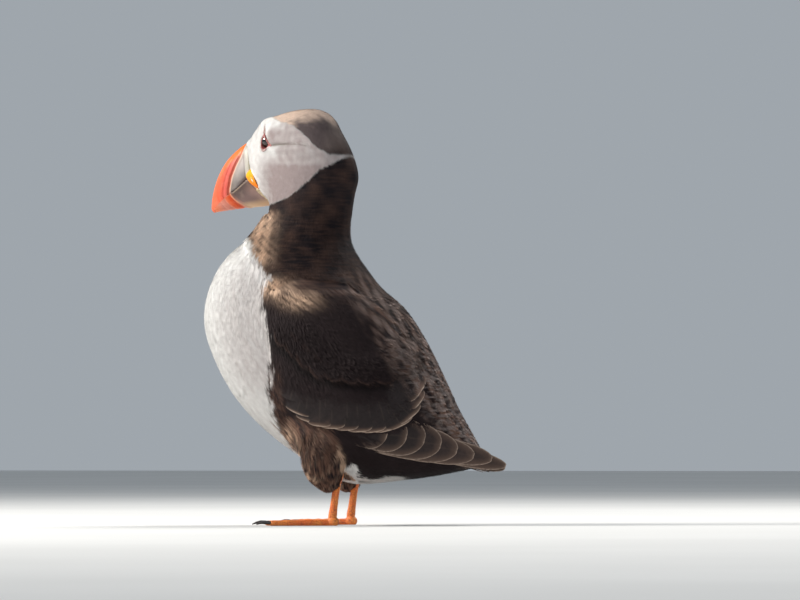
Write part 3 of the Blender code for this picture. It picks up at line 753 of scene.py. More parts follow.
def feathers(roots, normals, ends, end_normals, flow, half, shape, cup, roll, rounding):
    """Points and normals of one curved feather for each root and end in metres, as (feather, vertex, 3)."""
    shares, wide, columns = shape
    t = shares[None, :, None]
    lean = flow * np.linalg.norm(ends - roots, axis=1)[:, None]
    bend = ends - roots - lean
    spine = roots[:, None] + lean[:, None] * t + bend[:, None] * t ** 2
    up = unit(normals[:, None] * (1 - t) + end_normals[:, None] * t)
    ahead = unit(lean[:, None] + 2 * bend[:, None] * t)
    across = unit(np.cross(ahead, up))
    up = np.cross(across, ahead)
    across = across * np.cos(roll)[:, None, None] + up * np.sin(roll)[:, None, None]
    c = np.linspace(-1, 1, columns)[:, None]
    wide = wide[None, :-1, None, None]
    up, tip_up = up[:, :-1, None], up[:, -1:]
    across = across[:, :-1, None]
    body = spine[:, :-1, None] + (across * c) * (half[:, None, None, None] * wide)
    body = body - up * (cup[:, None, None, None] * c ** 2 * wide)
    bent = unit(up + across * (rounding * c))
    many = len(roots)
    points = np.concatenate((body.reshape(many, -1, 3), spine[:, -1:]), 1)
    return points, np.concatenate((bent.reshape(many, -1, 3), tip_up), 1)


def coat_mesh(name, points, normals, shape, uv, values, per_feather):
    """Feathers as one mesh, each with its patch of the bake's map and its marks."""
    shares, _, columns = shape
    many, each = points.shape[:2]
    across = np.append(np.tile(np.linspace(-1, 1, columns), len(shares) - 1), 0.0)
    along = np.append(np.repeat(shares[:-1], columns), 1.0)
    faces = strip_faces(len(shares), columns)[None] + (np.arange(many) * each)[:, None, None]
    mesh = mesh_of(name, points.reshape(-1, 3), faces.reshape(-1, 3))
    shown = {key: np.repeat(value, each) for key, value in values.items()}
    fresh = FINE_MARKS - set(per_feather)
    found = marks(to_part(points.reshape(-1, 3)))
    shown.update((key, value) for key, value in found.items() if key in fresh)
    shown.update(across=np.tile(np.abs(across), many), along=np.tile(along, many))
    for key, value in shown.items():
        put_attribute(mesh, key, value)
    patch = np.stack((across * 0.5, along - 0.5), 1) * UV_PATCH
    put_uv(mesh, (uv[:, None] + patch[None]).reshape(-1, 2))
    mesh.normals_split_custom_set_from_vertices(normals.reshape(-1, 3).astype(np.float32))
    return mesh


def sample(surface, per_mm2, allowed):
    """Evenly scattered roots on the skin where allowed is true, with their normals."""
    a, b, c = (surface.points[surface.faces[:, k]] for k in range(3))
    middle = to_part((a + b + c) / 3)
    area = np.linalg.norm(np.cross(b - a, c - a), axis=1) / 2 / MM ** 2
    wanted = np.where(allowed(middle), area * per_mm2, 0.0)
    count = (wanted + RNG.random(len(wanted))).astype(int)
    face = np.repeat(np.arange(len(wanted)), count)
    r = RNG.random((len(face), 2))
    r = np.where(r.sum(1, keepdims=True) > 1, 1 - r, r)
    share = np.column_stack((1 - r.sum(1), r))[..., None]
    corners = surface.faces[face]
    at = (surface.points[corners] * share).sum(1)
    return at, unit((surface.normals[corners] * share).sum(1))


def sized(value, points):
    """A size at points: a number, or a function of the place."""
    return value(points) if callable(value) else np.full(len(points), float(value))


def dress(surface, lie, name, slot, allowed, per_mm2, length, width, lift, shape=TUFT, turn=0.07, fringe=0.0,
          ends_at=None, sleek=False, per_feather=()):
    """One coat piece: feathers over the part of the skin where allowed is true."""
    roots, normals = sample(surface, per_mm2, allowed)
    part = to_part(roots)
    flow, uv = lie.at(part)
    flow = unit(flow - normals * (flow * normals).sum(1, keepdims=True))
    flow = unit(flow + np.cross(normals, flow) * RNG.normal(0, turn, len(roots))[:, None])
    long = sized(length, part) * RNG.uniform(0.8, 1.2, len(roots)) * MM
    ends, end_normals = surface.nearest(roots + flow * long[:, None])
    high = sized(lift, part) * RNG.uniform(0.94 if sleek else 0.75, 1.06, len(roots)) * MM
    ends = ends + end_normals * high[:, None]
    clear = ~near_bare(to_part(ends))
    if ends_at:
        clear &= ends_at(to_part(ends))
    every = (roots, normals, ends, end_normals, flow, uv, part)
    roots, normals, ends, end_normals, flow, uv, part = (values[clear] for values in every)
    half = width * RNG.uniform(0.75, 1.2, len(roots)) * MM / 2
    values = marks(to_part(roots * 0.35 + ends * 0.65))
    values["tone"] = RNG.random(len(roots))
    values["fringe"] = np.full(len(roots), fringe)
    points, bent = feathers(
        roots - normals * ROOT_SUNK * MM, normals, ends, end_normals, flow, half, shape,
        cup=half * (0.12 if shape is LEAF else 0.0), roll=RNG.normal(0, 0.02 if sleek else 0.05, len(roots)),
        rounding=0.16 if sleek else 0.38,
    )
    add_piece(name, coat_mesh(name, points, bent, shape, uv, values, per_feather), slot, PLUMAGE)


# ---------------------------------------------------------------- materials

class Paint:
    """A node material: each method adds a node and gives its output."""

    def __init__(self, name):
        self.material = bpy.data.materials.new(name)
        self.material.use_nodes = True
        self.tree = self.material.node_tree
        self.shader = self.tree.nodes["Principled BSDF"]

    def node(self, kind, inputs, output, **settings):
        made = self.tree.nodes.new("ShaderNode" + kind)
        for key, value in settings.items():
            setattr(made, key, value)
        for key, value in inputs.items():
            self.feed(made.inputs[key], value)
        return made.outputs[output]

    def feed(self, socket, value):
        if isinstance(value, bpy.types.NodeSocket):
            self.tree.links.new(value, socket)
        elif isinstance(value, tuple) and socket.type == "RGBA":
            socket.default_value = (*value, 1.0)
        else:
            socket.default_value = value

    def attribute(self, name):
        return self.node("Attribute", {}, "Fac", attribute_name=name)

    def mix(self, share, a, b, how="MIX"):
        return self.node("Mix", {0: share, 6: a, 7: b}, 2, data_type="RGBA", blend_type=how)

    def dimmed(self, colour, value, share=1.0):
        """A colour multiplied by a value."""
        grey = self.node("CombineColor", {0: value, 1: value, 2: value}, 0)
        return self.mix(share, colour, grey, "MULTIPLY")

    def math(self, operation, a, b=0.0, c=0.0):
        return self.node("Math", {0: a, 1: b, 2: c}, 0, operation=operation)

    def between(self, value, low, high, start=0.0, end=1.0):
        inputs = {0: value, 1: low, 2: high, 3: start, 4: end}
        return self.node("MapRange", inputs, 0, interpolation_type="SMOOTHSTEP")

    def place(self, scale=(1.0, 1.0, 1.0)):
        at = self.node("TexCoord", {}, "Object")
        return self.node("Mapping", {"Vector": at, "Scale": scale}, 0)

    def noise(self, scale, detail=2.0, stretch=(1.0, 1.0, 1.0)):
        return self.node("TexNoise", {"Vector": self.place(stretch), "Scale": scale, "Detail": detail}, "Fac")

    def ramp(self, value, *stops):
        out = self.node("ValToRGB", {"Fac": value}, "Color")
        elements = out.node.color_ramp.elements
        while len(elements) < len(stops):
            elements.new(0.5)
        for element, (place, *colour) in zip(elements, stops):
            element.position = place
            element.color = (*colour, 1.0)
        return out

    def bump(self, height, strength, distance):
        inputs = {"Height": height, "Strength": strength, "Distance": distance}
        self.feed(self.shader.inputs["Normal"], self.node("Bump", inputs, "Normal"))

    def done(self, **values):
        """The material, with values or outputs on the shader's own sockets."""
        for key, value in values.items():
            self.feed(self.shader.inputs[key.replace("_", " ")], value)
        return self.material


def plumage():
    """Feather colours from the marks carried by each vertex."""
    p = Paint("plumage")
    is_pale = p.attribute("pale")
    # grey holds the cheek's own grey and painted shade on the face, the breast's sides and the lower belly.
    pale = p.mix(p.attribute("grey"), WHITE, CHEEK_GREY_AND_SHADE)
    waves = p.between(p.noise(260.0, 3.0, (0.42, 0.42, 3.2)), 0.34, 0.70, -0.10, 0.12)
    worn = p.math("MULTIPLY_ADD", p.attribute("ripple"), waves, p.attribute("worn"))
    rows = p.between(p.noise(260.0, 2.0, (0.75, 0.75, 2.4)), 0.36, 0.66, -0.26, 0.46)
    dusty = p.math("MULTIPLY_ADD", p.attribute("bars"), rows, p.attribute("dusty"))
    dark = p.mix(dusty, p.mix(worn, BLACK_BROWN, WORN_BROWN), DUSTY)
    dark = p.mix(p.attribute("tan_and_sunlight"), dark, TAN_AND_SUNLIT)
    dark = p.mix(p.attribute("cap"), dark, p.mix(p.attribute("crown"), CAP_SIDE, CAP_TOP_WORN_AND_LIT))
    sides = p.math("POWER", p.attribute("across"), 3.0)
    tip = p.math("POWER", p.attribute("along"), 4.0)
    rim = p.math("MULTIPLY", p.math("MAXIMUM", sides, tip), p.attribute("fringe"))
    colour = p.mix(is_pale, p.mix(rim, dark, PALE_EDGE), pale)
    spread = p.between(is_pale, 0.0, 1.0, 0.34, 0.05)
    tone = p.math("MULTIPLY_ADD", p.attribute("tone"), spread, p.between(is_pale, 0.0, 1.0, 0.82, 0.965))
    clouds = p.between(p.noise(420.0, 3.0), 0.25, 0.75, 0.95, 1.04)
    # Painted shade: each feather darker towards its root, where the feathers overlap.
    root = p.between(p.attribute("along"), 0.0, 0.6, 0.93, 1.0)
    light = p.math("MULTIPLY", p.math("MULTIPLY", tone, clouds), root)
    light = p.math("MULTIPLY", light, p.math("SUBTRACT", 1.0, p.attribute("shade")))
    colour = p.mix(p.attribute("fold_shade"), p.dimmed(colour, light), FOLD_SHADE)
    p.bump(p.noise(2600.0, 2.0), 0.2, 0.0002)
    return p.done(
        Base_Color=colour, Roughness=0.75, Specular_IOR_Level=0.16, Sheen_Weight=0.03, Sheen_Roughness=0.4,
    )


def leg_skin():
    """Orange skin in small plates with darker joints."""
    p = Paint("leg_skin")
    inputs = {"Vector": p.place(), "Scale": 900.0}
    cells = p.node("TexVoronoi", inputs, "Distance", feature="DISTANCE_TO_EDGE")
    plates = p.between(cells, 0.0, 0.12)
    colour = p.mix(p.between(p.noise(140.0, 3.0), 0.3, 0.7), (0.78, 0.16, 0.025), (0.88, 0.30, 0.05))
    p.bump(plates, 0.5, 0.0003)
    return p.done(
        Base_Color=p.mix(plates, (0.42, 0.07, 0.015), colour), Roughness=0.45, Subsurface_Weight=0.08,
        Subsurface_Scale=0.002,
    )


def horn_bands(p, band):
    """Colours of the upper and the lower bill from the slate, under 0.5, to the tip."""
    upper = p.ramp(
        band, (0.000, 0.44, 0.39, 0.36), (0.300, 0.41, 0.37, 0.355), (0.440, 0.43, 0.37, 0.34),
        (0.485, 0.50, 0.39, 0.33), (0.500, 0.64, 0.40, 0.30), (0.522, 0.50, 0.20, 0.13),
        (0.540, 0.30, 0.042, 0.022), (0.585, 0.36, 0.050, 0.025), (0.610, 0.58, 0.095, 0.068),
        (0.670, 0.62, 0.105, 0.080), (0.700, 0.44, 0.055, 0.032), (0.730, 0.64, 0.095, 0.055),
        (0.800, 0.70, 0.110, 0.050), (1.000, 0.78, 0.140, 0.060),
    )
    lower = p.ramp(
        band, (0.000, 0.18, 0.112, 0.095), (0.250, 0.103, 0.066, 0.061), (0.420, 0.118, 0.074, 0.067),
        (0.480, 0.26, 0.130, 0.10), (0.497, 0.56, 0.24, 0.14), (0.520, 0.56, 0.13, 0.045),
        (0.540, 0.36, 0.040, 0.012), (0.575, 0.56, 0.065, 0.012), (0.640, 0.60, 0.080, 0.014),
        (0.680, 0.58, 0.12, 0.05), (0.710, 0.54, 0.18, 0.125), (0.850, 0.56, 0.19, 0.135),
        (1.000, 0.70, 0.18, 0.080),
    )
    return upper, lower


def horn():
    """The bill: grey plate, cream line, grooved red bands, orange ridge and the bare strip at its base."""
    p = Paint("bill_horn")
    streaks = p.between(p.noise(900.0, 3.0, (1.0, 1.0, 0.35)), 0.2, 0.8, -0.007, 0.007)
    band = p.math("ADD", p.attribute("band"), streaks)
    # depth dims the horn with painted shade towards the mouth line.
    depth, on_slate, is_lower = p.attribute("depth"), p.between(band, 0.50, 0.47), p.attribute("lower")
    upper, lower = (p.dimmed(colour, depth, on_slate) for colour in horn_bands(p, band))
    keel = p.math("MULTIPLY", p.attribute("keel"), p.between(band, 0.52, 0.44))
    colour = p.mix(is_lower, upper, p.mix(keel, lower, (0.60, 0.40, 0.24)))
    ridge = p.math("MULTIPLY", p.attribute("ridge"), p.between(band, 0.50, 0.57))
    orange = p.mix(p.between(band, 0.62, 0.95), (0.80, 0.145, 0.004), (0.80, 0.165, 0.060))
    scuffs = p.between(p.noise(260.0, 4.0), 0.45, 0.75, 0.0, 0.06)
    strip = p.mix(is_lower, (0.46, 0.43, 0.375), (0.44, 0.31, 0.19))
    lips = p.mix(p.between(band, 0.48, 0.54), (0.075, 0.035, 0.028), (0.70, 0.22, 0.13))
    layers = (
        (ridge, orange),
        (scuffs, (0.95, 0.72, 0.55)),
        (p.attribute("tomium"), (0.42, 0.32, 0.22)),
        (p.attribute("cere"), strip),
        (p.attribute("seam"), (0.20, 0.175, 0.085)),
        (p.attribute("lips"), lips),
    )
    for share, over in layers:
        colour = p.mix(share, colour, over)
    p.bump(p.noise(1500.0, 3.0, (1.0, 1.0, 0.4)), 0.18, 0.0002)
    return p.done(
        Base_Color=colour, Roughness=0.42, Specular_IOR_Level=0.28, Coat_Weight=0.03, Coat_Roughness=0.3,
    )


def rosette_paint():
    """Wrinkled yellow skin, deeper orange towards its lower end."""
    p = Paint("rosette")
    colour = p.mix(p.between(p.attribute("down"), 0.15, 0.9), (1.0, 0.40, 0.006), (0.88, 0.19, 0.006))
    colour = p.mix(p.between(p.noise(600.0, 3.0), 0.35, 0.75, 0.0, 0.35), colour, (0.95, 0.34, 0.02))
    p.bump(p.noise(1600.0, 3.0), 0.3, 0.0003)
    return p.done(Base_Color=colour, Roughness=0.55, Specular_IOR_Level=0.25)


def speckled(name, first, second, scale, roughness):
    """Two close colours in clouds, with fine relief."""
    p = Paint(name)
    colour = p.mix(p.between(p.noise(scale, 4.0), 0.32, 0.68), first, second)
    p.bump(p.noise(scale * 4, 3.0), 0.2, 0.0003)
    return p.done(Base_Color=colour, Roughness=roughness)


def eye_paint():
    """Dark iris with a faint warm rim round the pupil, under a clear coat."""
    p = Paint("eye")
    colour = p.ramp(
        p.attribute("ring"), (0.0, 0.003, 0.003, 0.004), (0.30, 0.004, 0.003, 0.003),
        (0.36, 0.045, 0.026, 0.018), (0.62, 0.030, 0.017, 0.012), (0.70, 0.008, 0.006, 0.006),
        (1.0, 0.02, 0.015, 0.015),
    )
    colour = p.mix(p.between(p.noise(1800.0, 3.0), 0.3, 0.7, 0.0, 0.4), colour, (0.012, 0.008, 0.006))
    return p.done(Base_Color=colour, Roughness=0.12, Coat_Weight=1.0, Coat_Roughness=0.02, IOR=1.38)


def vane_paint():
    """Flight feathers: fine slanted barbs, a faint shaft and a thin pale rim."""
    p = Paint("vane")
    across, edge, fringe = p.attribute("across"), p.attribute("edge"), p.attribute("fringe")
    colour = p.mix(p.attribute("worn"), (0.0105, 0.0076, 0.0088), (0.135, 0.080, 0.062))
    tone = p.math("MULTIPLY_ADD", p.attribute("tone"), 0.24, 0.88)
    tone = p.math("MULTIPLY", tone, p.between(p.noise(500.0, 4.0), 0.25, 0.75, 0.80, 1.15))
    warm = p.math("MULTIPLY", p.between(edge, 5.0, 0.5, 0.0, 0.7), fringe)
    colour = p.mix(warm, p.dimmed(colour, tone), (0.150, 0.092, 0.066))
    soft = p.math("MULTIPLY", p.between(edge, 1.6, 0.2, 0.0, 0.25), fringe)
    rim = p.math("MAXIMUM", p.math("MULTIPLY", p.between(edge, 0.62, 0.28), fringe), soft)
    rim = p.math("MULTIPLY", rim, p.between(p.noise(700.0, 2.0), 0.3, 0.6, 0.5, 1.0))
    colour = p.mix(rim, colour, (0.44, 0.33, 0.26))
    colour = p.mix(p.between(across, 0.09, 0.02, 0.0, 0.12), colour, (0.10, 0.07, 0.05))
    slant = p.math("MULTIPLY_ADD", p.attribute("along"), 260.0, p.math("MULTIPLY", across, 46.0))
    p.bump(p.math("SINE", slant), 0.15, 0.0002)
    return p.done(Base_Color=colour, Roughness=0.62, Specular_IOR_Level=0.22, Sheen_Weight=0.02)


PLUMAGE = plumage()
LEG_SKIN = leg_skin()
HORN = horn()
LID = speckled("lid", (0.22, 0.045, 0.040), (0.40, 0.130, 0.112), 900.0, 0.5)
ROSETTE = rosette_paint()
STRIP = speckled("gape_strip", (0.34, 0.27, 0.14), (0.56, 0.44, 0.28), 700.0, 0.5)
PLATE = speckled("eye_plate", (0.26, 0.15, 0.135), (0.38, 0.25, 0.23), 800.0, 0.6)
CLAW = speckled("claw", (0.020, 0.017, 0.016), (0.055, 0.045, 0.040), 700.0, 0.32)
EYE_PAINT = eye_paint()
VANE = vane_paint()


# ---------------------------------------------------------------- bill

BILL_ROWS = 150
BILL_COLUMNS = 200
NARROWER_BELOW = 1.9


def bill_marks(f, edge, base, mouth):
    """The horn's masks, from distances past the slate, past the face and below the line of the mouth."""
    ridge = np.cos(np.arange(BILL_COLUMNS) * 2 * math.pi / BILL_COLUMNS)
    lower = smooth(-0.12, 0.12, mouth)
    cere = smooth(3.7, 3.35, base + NARROWER_BELOW * lower) * smooth(0.25, -0.25, edge)
    # line: the mouth's parting painted dark, as shade in the gap between the halves.
    line = bell(mouth, 0.20 + 0.75 * smooth(25.0, 17.0, f) ** 2) * smooth(0.0, 4.0, f)
    # Painted shade on the horn just above the mouth, near the gape.
    shade_above_line = 0.6 * bell(mouth + 1.0, 0.9) * smooth(26.5, 19.0, f)
    # Painted shade: the horn darker towards the mouth line, above it and just below it.
    shade_above_mouth = 1.0 - 0.52 * smooth(-9.0, -1.5, mouth)
    shade_below_mouth = 0.62 + 0.95 * smooth(0.5, 9.0, mouth)
    return {
        "band": np.clip(0.5 + edge / 26.0, 0, 1),
        "ridge": np.broadcast_to(smooth(0.66, 0.84, ridge), f.shape),
        "lower": lower,
        "cere": cere,
        "seam": 0.9 * bell(base - 0.5, 0.5) * (1 - lower),
        "keel": np.broadcast_to(smooth(-0.72, -0.97, ridge), f.shape),
        "tomium": bell(mouth - 0.75, 0.3) * smooth(27.5, 26.0, f) * (1 - cere) * 0.7,
        "depth": np.where(mouth < 0, shade_above_mouth, shade_below_mouth),
        "lips": np.maximum(line, shade_above_line) * (1 - 0.8 * cere),
    }


def bill_relief(f, edge, base, mouth, shown):
    """Height of the horn: rims of the slate and of the bare strip, less the grooves and the mouth's cut."""
    bare = base + NARROWER_BELOW * shown["lower"]
    on_slate = smooth(0.25, -0.25, edge)
    groove = sum(deep * bell(edge - at, wide) for at, wide, deep in BILL_GROOVES) * (1 - 0.8 * shown["ridge"])
    groove = groove + 0.30 * bell(bare - 3.8, 0.35) * on_slate
    swell = 0.28 * bell(edge + 0.4, 0.7) + 0.42 * smooth(3.8, 2.6, bare) * on_slate
    cut = 0.55 * bell(mouth, 0.3 + 0.3 * smooth(25.0, 17.0, f))
    cut = cut * smooth(0.0, 3.0, f) * smooth(31.0, 27.0, f)
    return swell - groove - cut - 0.05


def build_bill():
    """Both halves of the bill as grooved horn, parted along the mouth. Returns the surface of the whole."""
    grid = rings(BILL, np.linspace(0, len(BILL) - 1.02, BILL_ROWS), BILL_COLUMNS)
    f, u, _, _ = head_frame(grid)
    edge = edge_distance(SLATE_EDGE, f, u)
    base = edge_distance(FACE_EDGE, f, u)
    mouth = -edge_distance(MOUTH, f, u)
    shown = bill_marks(f, edge, base, mouth)
    height = bill_relief(f, edge, base, mouth, shown)
    points = to_world(grid).reshape(-1, 3)
    quads = grid_faces(BILL_ROWS, BILL_COLUMNS)
    triangles = np.vstack((quads[:, :3], quads[:, [0, 2, 3]]))
    normals = point_normals(points, triangles)
    if ((points - points.mean(0)) * normals).sum() < 0:
        normals = -normals
        quads = quads[:, ::-1]
    points = points + normals * (height * MM).reshape(-1, 1)
    points[-BILL_COLUMNS:] = points[-BILL_COLUMNS:].mean(0)
    is_lower = shown["lower"].reshape(-1) >= 0.5
    for name, keep in (("bill_upper", ~is_lower), ("bill_lower", is_lower)):
        used, index = np.unique(quads[keep[quads].sum(1) >= 2], return_inverse=True)
        mesh = mesh_of(name, points[used], index.reshape(-1, 4))
        for key, values in shown.items():
            put_attribute(mesh, key, values.reshape(-1)[used])
        add_piece(name + "_horn", mesh, "bill_horn", HORN, replaced=[name])
    return Surface(points, triangles)


# ---------------------------------------------------------------- eyes

EYE_ROWS = 28
EYE_COLUMNS = 48
EYE_OPENING = 1.25
LID_POINTS = 80
# Shares of the way from the lid's opening to its rim, at which it has a row.
LID_ROWS = np.array((-0.15, 0.0, 0.15, 0.35, 0.55, 0.75, 0.95, 1.12, 1.3))[:, None]


def side_points(forward, up, out, side):
    """Head-frame places on one side, in metres."""
    return to_world(from_head(forward, up, np.asarray(out) * side))


def side_mesh(name, forward, up, out, side, flip=False):
    """A grid of head-frame places, closed across its columns, as a mesh that faces out on its side."""
    grid = side_points(forward, up, out, side)
    quads = grid_faces(*grid.shape[:2])
    return mesh_of(name, grid.reshape(-1, 3), quads[:, ::-1] if (side > 0) != flip else quads)


def ball_out(forward, up):
    """How far out the eyeball reaches."""
    r = np.minimum(np.hypot(forward, up), EYE_RADIUS - 0.3)
    return EYE[0] + np.sqrt(EYE_RADIUS ** 2 - r ** 2)


def build_eye(side, word, lie):
    """The ball with its bulging cornea, and its lid."""
    polar = np.linspace(0.0, EYE_OPENING, EYE_ROWS)[:, None]
    angle = np.arange(EYE_COLUMNS)[None] * 2 * math.pi / EYE_COLUMNS
    f = EYE_RADIUS * np.sin(polar) * np.cos(angle)
    u = EYE_RADIUS * np.sin(polar) * np.sin(angle)
    bulge = 0.25 * smooth(0.62, 0.0, polar)
    out = EYE[0] + EYE_RADIUS * np.cos(polar) + bulge + 0 * f
    mesh = side_mesh(f"eye_{word}", f, u, out, side)
    put_attribute(mesh, "ring", np.broadcast_to(polar / 0.9, f.shape).reshape(-1).clip(0, 1))
    add_piece(f"eyeball_{word}", mesh, "eye", EYE_PAINT, replaced=[f"eye_{word}"])
    build_lid(side, word, lie)


def build_lid(side, word, lie):
    """The fleshy ring: it lies on the eyeball, rounds over and dips under the skin."""
    inner, outer = closed_line(EYE_INNER, LID_POINTS), closed_line(EYE_OUTER, LID_POINTS)
    share = LID_ROWS
    f = inner[:, 0] + (outer[:, 0] - inner[:, 0]) * share
    u = inner[:, 1] + (outer[:, 1] - inner[:, 1]) * share
    face = lie.outward(outer[:, 0], outer[:, 1]) - 0.25
    edge = ball_out(inner[:, 0], inner[:, 1])
    wrinkle = 0.05 * np.sin(np.arange(LID_POINTS) * 1.4) * np.sin(math.pi * np.clip(share, 0, 1))
    out = edge * (1 - share) + face * share + 0.42 * np.sin(math.pi * np.clip(share, 0, 1.1)) + wrinkle
    out = out - 0.35 * (share < 0) - 0.9 * np.clip(share - 1.0, 0, 1)
    add_piece(f"eye_ring_{word}", side_mesh(f"lid_{word}", f, u, out, side), "eye_plate", LID)


# ---------------------------------------------------------------- small horny parts

PAD_ROWS = 10
PAD_POINTS = 64
CLEAR_OF_HEAD = 40.0


def pad(name, outline, under, side, rise, slot, paint, replaced=(), folds=0.0):
    """A cushion over the skin and bill inside an outline on the head, highest in the middle."""
    outline = np.asarray(outline, float)
    line = closed_line(outline, PAD_POINTS)
    share = np.linspace(0, 1, PAD_ROWS)[:, None]
    middle = outline.mean(0)
    f = middle[0] + (line[:, 0] - middle[0]) * (1 - share)
    u = middle[1] + (line[:, 1] - middle[1]) * (1 - share)
    starts = side_points(f, u, CLEAR_OF_HEAD + 0 * f, side).reshape(-1, 3)
    inward = side_points(0.0, 0.0, 0.0, side) - side_points(0.0, 0.0, 1.0, side)
    out = CLEAR_OF_HEAD - reach(under, starts, Vector(unit(inward))).reshape(f.shape) / MM
    high = rise * np.sqrt(np.clip(1 - (1 - share) ** 2.4, 0, 1)) - 0.35 * (share < 0.02)
    out = quadratic_fit(f, u, out) + high * (1 + folds * np.sin(u * 2.6 + f * 0.8))
    mesh = side_mesh(name, f, u, out, side, flip=True)
    put_attribute(mesh, "down", ((line[:, 1].max() - u) / np.ptp(line[:, 1])).reshape(-1))
    add_piece(name, mesh, slot, paint, replaced=replaced)


def build_small_parts(skin, bill, lie):
    """Eyes, lids, rosettes and eye plates, and the claws' colour."""
    for side, word in SIDES:
        build_eye(side, word, lie)
        pad(f"rosette_pad_{word}", ROSETTE_OUTLINE, [skin, bill], side, 1.5, "rosette", ROSETTE,
            [f"rosette_{word}"], folds=0.07)
        pad(f"gape_strip_{word}", GAPE_STRIP, [skin, bill], side, 0.7, "rosette", STRIP)
        for where, level, outline, rise in (
            ("above", "upper", UPPER_PLATE, 0.6), ("below", "lower", LOWER_PLATE, 0.4),
        ):
            pad(f"plate_{where}_{word}", outline, [skin], side, rise, "eye_plate", PLATE,
                [f"eye_plate_{level}_{word}"])
        for toe in ("inner", "middle", "outer"):
            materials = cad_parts[f"claw_{toe}_{word}"].data.materials
            materials.clear()
            materials.append(CLAW)


# ---------------------------------------------------------------- large vanes

class Vanes:
    """Large feathers, each a cupped blade with a shaft, laid over the side of the body."""

    ROWS = 16
    COLUMNS = 9
    CLEAR_OF_BODY = 70.0

    def __init__(self, surface=None):
        self.surface = surface
        self.points, self.faces, self.uv, self.values = [], [], [], []

    def blade(self):
        """Shares along and across a blade, closer together near its tip and edges."""
        t = 1 - (1 - np.linspace(0, 1, self.ROWS)) ** 1.7
        c = np.sin(np.linspace(-math.pi / 2, math.pi / 2, self.COLUMNS))
        return np.broadcast_arrays(t[:, None], c[None])

    def outward(self, y, z, side):
        """How far out the skin reaches at (y, z), smoothed over the blade."""
        starts = to_world(np.stack((np.full(y.size, side * self.CLEAR_OF_BODY), y.ravel(), z.ravel()), -1))
        away = reach([self.surface], starts, Vector((-side, 0, 0))).reshape(y.shape)
        out = self.CLEAR_OF_BODY - away / MM
        out = np.where(out > 2.0, out, np.nan)
        return quadratic_fit((y - y.mean()) / 10, (z - z.mean()) / 10, out)

    def add(self, root, tip, half, side, height, bow, fringe, sink=1.2, out=None, round_from=0.7,
            rim_from=0.35, worn=None, blunt=2.2):
        """One blade from root to tip, (y, z); height is how far its face stands off the skin."""
        t, c = self.blade()
        root, tip = np.array(root, float), np.array(tip, float)
        long = np.hypot(*(tip - root))
        ahead = (tip - root) / long
        end = np.clip((t - round_from) / (1.004 - round_from), 0, 1)
        wide = half * np.minimum(1, 0.35 + 2.2 * t) * np.sqrt(1 - end ** blunt)
        shift = wide * c + bow * np.sin(math.pi * t)
        y = root[0] + ahead[0] * long * t - ahead[1] * shift
        z = root[1] + ahead[1] * long * t + ahead[0] * shift
        x = out(y, z) + height if out else self.outward(y, z, side) + height * (0.15 + 0.85 * t ** 1.5)
        x = x - sink * (1 - t) ** 3 - 0.03 * half * c ** 2 + 0.04 * bell(c, 0.12)
        edge = np.minimum((1 - np.abs(c)) * wide, (1 - t) * long)
        fringe = fringe * smooth(rim_from, rim_from + 0.1, t)
        self.keep(np.stack((side * x, y, z), -1), edge, t, c, fringe, side, worn)

    def keep(self, points, edge, t, c, fringe, side, worn=None):
        """Takes in a blade's points, faces, place on the bake's map and marks."""
        world = to_world(points).reshape(-1, 3)
        row, column = np.meshgrid(np.arange(self.ROWS - 1), np.arange(self.COLUMNS - 1), indexing="ij")
        first = (row * self.COLUMNS + column).ravel() + len(self.points) * len(world)
        quads = np.stack((first, first + 1, first + self.COLUMNS + 1, first + self.COLUMNS), 1)
        self.faces.append(quads if side < 0 else quads[:, ::-1])
        self.points.append(world)
        self.uv.append(np.stack(((c + 1) / 2, t), -1).reshape(-1, 2))
        worn = marks(to_part(world))["worn"].reshape(t.shape) if worn is None else worn
        made = dict(edge=edge, across=np.abs(c), along=t, tone=RNG.random(), fringe=fringe, worn=worn)
        self.values.append({name: np.broadcast_to(value, t.shape).ravel() for name, value in made.items()})

    def finish(self, name, replaced=()):
        """The blades as one mesh, each with a cell of the bake's map."""
        mesh = mesh_of(name, np.vstack(self.points), np.vstack(self.faces))
        for key in self.values[0]:
            put_attribute(mesh, key, np.concatenate([values[key] for values in self.values]))
        many = math.ceil(math.sqrt(len(self.uv)))
        cells = [(np.array((i % many, i // many)) + 0.05 + 0.9 * uv) / many for i, uv in enumerate(self.uv)]
        put_uv(mesh, np.vstack(cells))
        add_piece(name, mesh, "plumage_dark", VANE, replaced=replaced)


SECONDARIES = 12
COVERTS = 8
PRIMARY_ROOT = (16.0, 56.0)
RIGHT_TUCK = (3.5, 1.2)
TAIL_FEATHERS = 12


def tip_row(vanes, count, side, half, length, height, fringe, rise=0.0, jitter=0.0, **shape):
    """Blades with tips along the secondaries' line, or that much above it; hindmost first."""
    tips = along_line(SECONDARY_TIPS, count) + (-0.45 * rise, 0.86 * rise)
    ahead = unit(np.gradient(tips, axis=0))
    square = np.stack((ahead[:, 1], -ahead[:, 0]), 1)
    aims = unit(0.72 * square + 0.28 * np.array((0.35, -0.94)))
    for i in reversed(range(count)):
        tip = tips[i] + RNG.normal(0, jitter, 2)
        long = length * (0.55 + 0.45 * smooth(-12.0, 10.0, tip[0]))
        vanes.add(tip - aims[i] * long, tip, half, side, height + 0.02 * (count - i), 0.4, fringe, **shape)


def build_wings(surface):
    """The pale-tipped flight feathers below, and a row of coverts over them."""
    for side, word in SIDES:
        vanes = Vanes(surface)
        tip_row(vanes, SECONDARIES, side, 7.4, 24.0, 1.9, 1.0, round_from=0.86, rim_from=0.88, blunt=3.0)
        tip_row(vanes, COVERTS, side, 7.6, 20.0, 1.2, 0.0, rise=8.5, jitter=0.6, round_from=0.8, rim_from=0.6)
        vanes.finish(f"wing_vanes_{word}")


